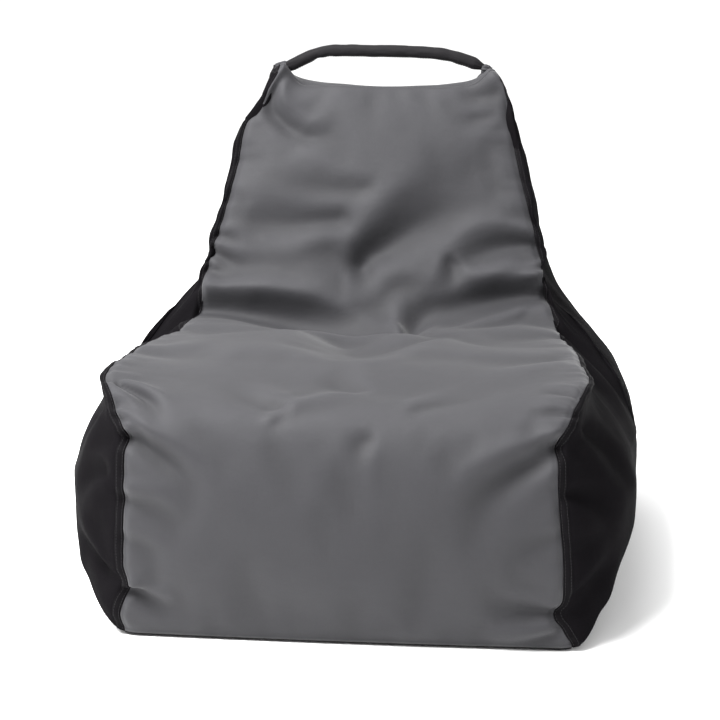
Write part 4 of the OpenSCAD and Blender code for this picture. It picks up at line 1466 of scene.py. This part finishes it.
class BAG_OT_stage(bpy.types.Operator):
    """Plain pale floor, soft studio light and the camera"""

    bl_idname = "bag.stage"
    bl_label = "Stage"
    bl_options = {"REGISTER", "UNDO"}

    def lamp(self, name, place, target, size, power):
        light = bpy.data.lights.new(name, "AREA")
        light.shape, light.size, light.energy = "DISK", size, power
        self.aim(add_object(name, light), place, target)

    def aim(self, thing, place, target):
        thing.location = place
        thing.rotation_euler = (Vector(place) - Vector(target)).to_track_quat("Z", "Y").to_euler()

    def execute(self, context):
        scene = bpy.context.scene
        floor_finish = Finish("pale_floor", Specular_IOR_Level=0.2)
        cloud = floor_finish.noise(floor_finish.place(), 3.0, 3)
        floor_finish.feed(
            Base_Color=floor_finish.mixed(cloud, (0.965, 0.965, 0.963), (0.985, 0.985, 0.984)),
            Roughness=cloud * 0.1 + 0.8,
        )
        cells, reach = 9, 40
        edge = reach * np.linspace(-1, 1, cells)
        points = np.stack([*np.meshgrid(edge, edge, indexing="ij"), np.zeros((cells, cells))], -1)
        mesh = bpy.data.meshes.new("floor")
        mesh.from_pydata(points.reshape(-1, 3).tolist(), [], grid_faces(cells, cells)[:, ::-1].tolist())
        mesh.materials.append(floor_finish.material)
        add_object("floor", mesh)
        world = bpy.data.worlds.new("studio")
        world.use_nodes = True
        backdrop = world.node_tree.nodes["Background"].inputs
        backdrop["Color"].default_value, backdrop["Strength"].default_value = (1, 1, 1, 1), 1.03
        scene.world = world
        self.lamp("key", (-1.45, -1.3, 3.0), (0, 0.05, 0.35), 2.2, 385)
        self.lamp("top", (-0.2, 0.45, 2.4), (0, -0.2, 0.3), 1.5, 28)
        camera = bpy.data.cameras.new("camera")
        camera.lens, camera.sensor_width = 109.5, 36
        camera.clip_end = 200
        eye = add_object("camera", camera)
        turn, rise, distance = math.radians(5.5), math.radians(15), 3.4
        target = np.array([-0.009, 0.0, 0.312])
        back = np.array([math.sin(turn) * math.cos(rise), -math.cos(turn) * math.cos(rise), math.sin(rise)])
        self.aim(eye, tuple(target + distance * back), tuple(target))
        scene.camera = eye
        scene.view_settings.view_transform = "Standard"
        scene.view_settings.look = "None"
        return {"FINISHED"}


class BAG_PT_panel(bpy.types.Panel):
    """Sizes, colours and pieces of the bean bag chair"""

    bl_idname = "BAG_PT_panel"
    bl_label = "Bean bag chair"
    bl_space_type = "VIEW_3D"
    bl_region_type = "UI"
    bl_category = "Bean bag"

    def draw(self, context):
        for operator in OPERATORS:
            self.layout.operator(operator.bl_idname)
        for group in (context.scene.bag_sizes, context.scene.bag_colours):
            column = self.layout.column()
            for label in group.bl_rna.properties.keys():
                if label not in ("rna_type", "name"):
                    column.prop(group, label)


OPERATORS = (
    BAG_OT_stage, BAG_OT_front, BAG_OT_rear, BAG_OT_base, BAG_OT_sides, BAG_OT_seams,
    BAG_OT_handle, BAG_OT_corners, BAG_OT_zip, BAG_OT_liner,
)
CLASSES = (BagSizes, BagColours, *OPERATORS, BAG_PT_panel)


def register():
    for each in CLASSES:
        bpy.utils.register_class(each)
    bpy.types.Scene.bag_sizes = bpy.props.PointerProperty(type=BagSizes)
    bpy.types.Scene.bag_colours = bpy.props.PointerProperty(type=BagColours)


def unregister():
    del bpy.types.Scene.bag_sizes, bpy.types.Scene.bag_colours
    for each in reversed(CLASSES):
        bpy.utils.unregister_class(each)


def main():
    register()
    bpy.ops.bag.stage()
    bpy.ops.bag.front()
    bpy.ops.bag.rear()
    bpy.ops.bag.base()
    bpy.ops.bag.sides()
    bpy.ops.bag.seams()
    bpy.ops.bag.handle()
    bpy.ops.bag.corners()
    bpy.ops.bag.zip()
    bpy.ops.bag.liner()


if __name__ == "__main__":
    main()
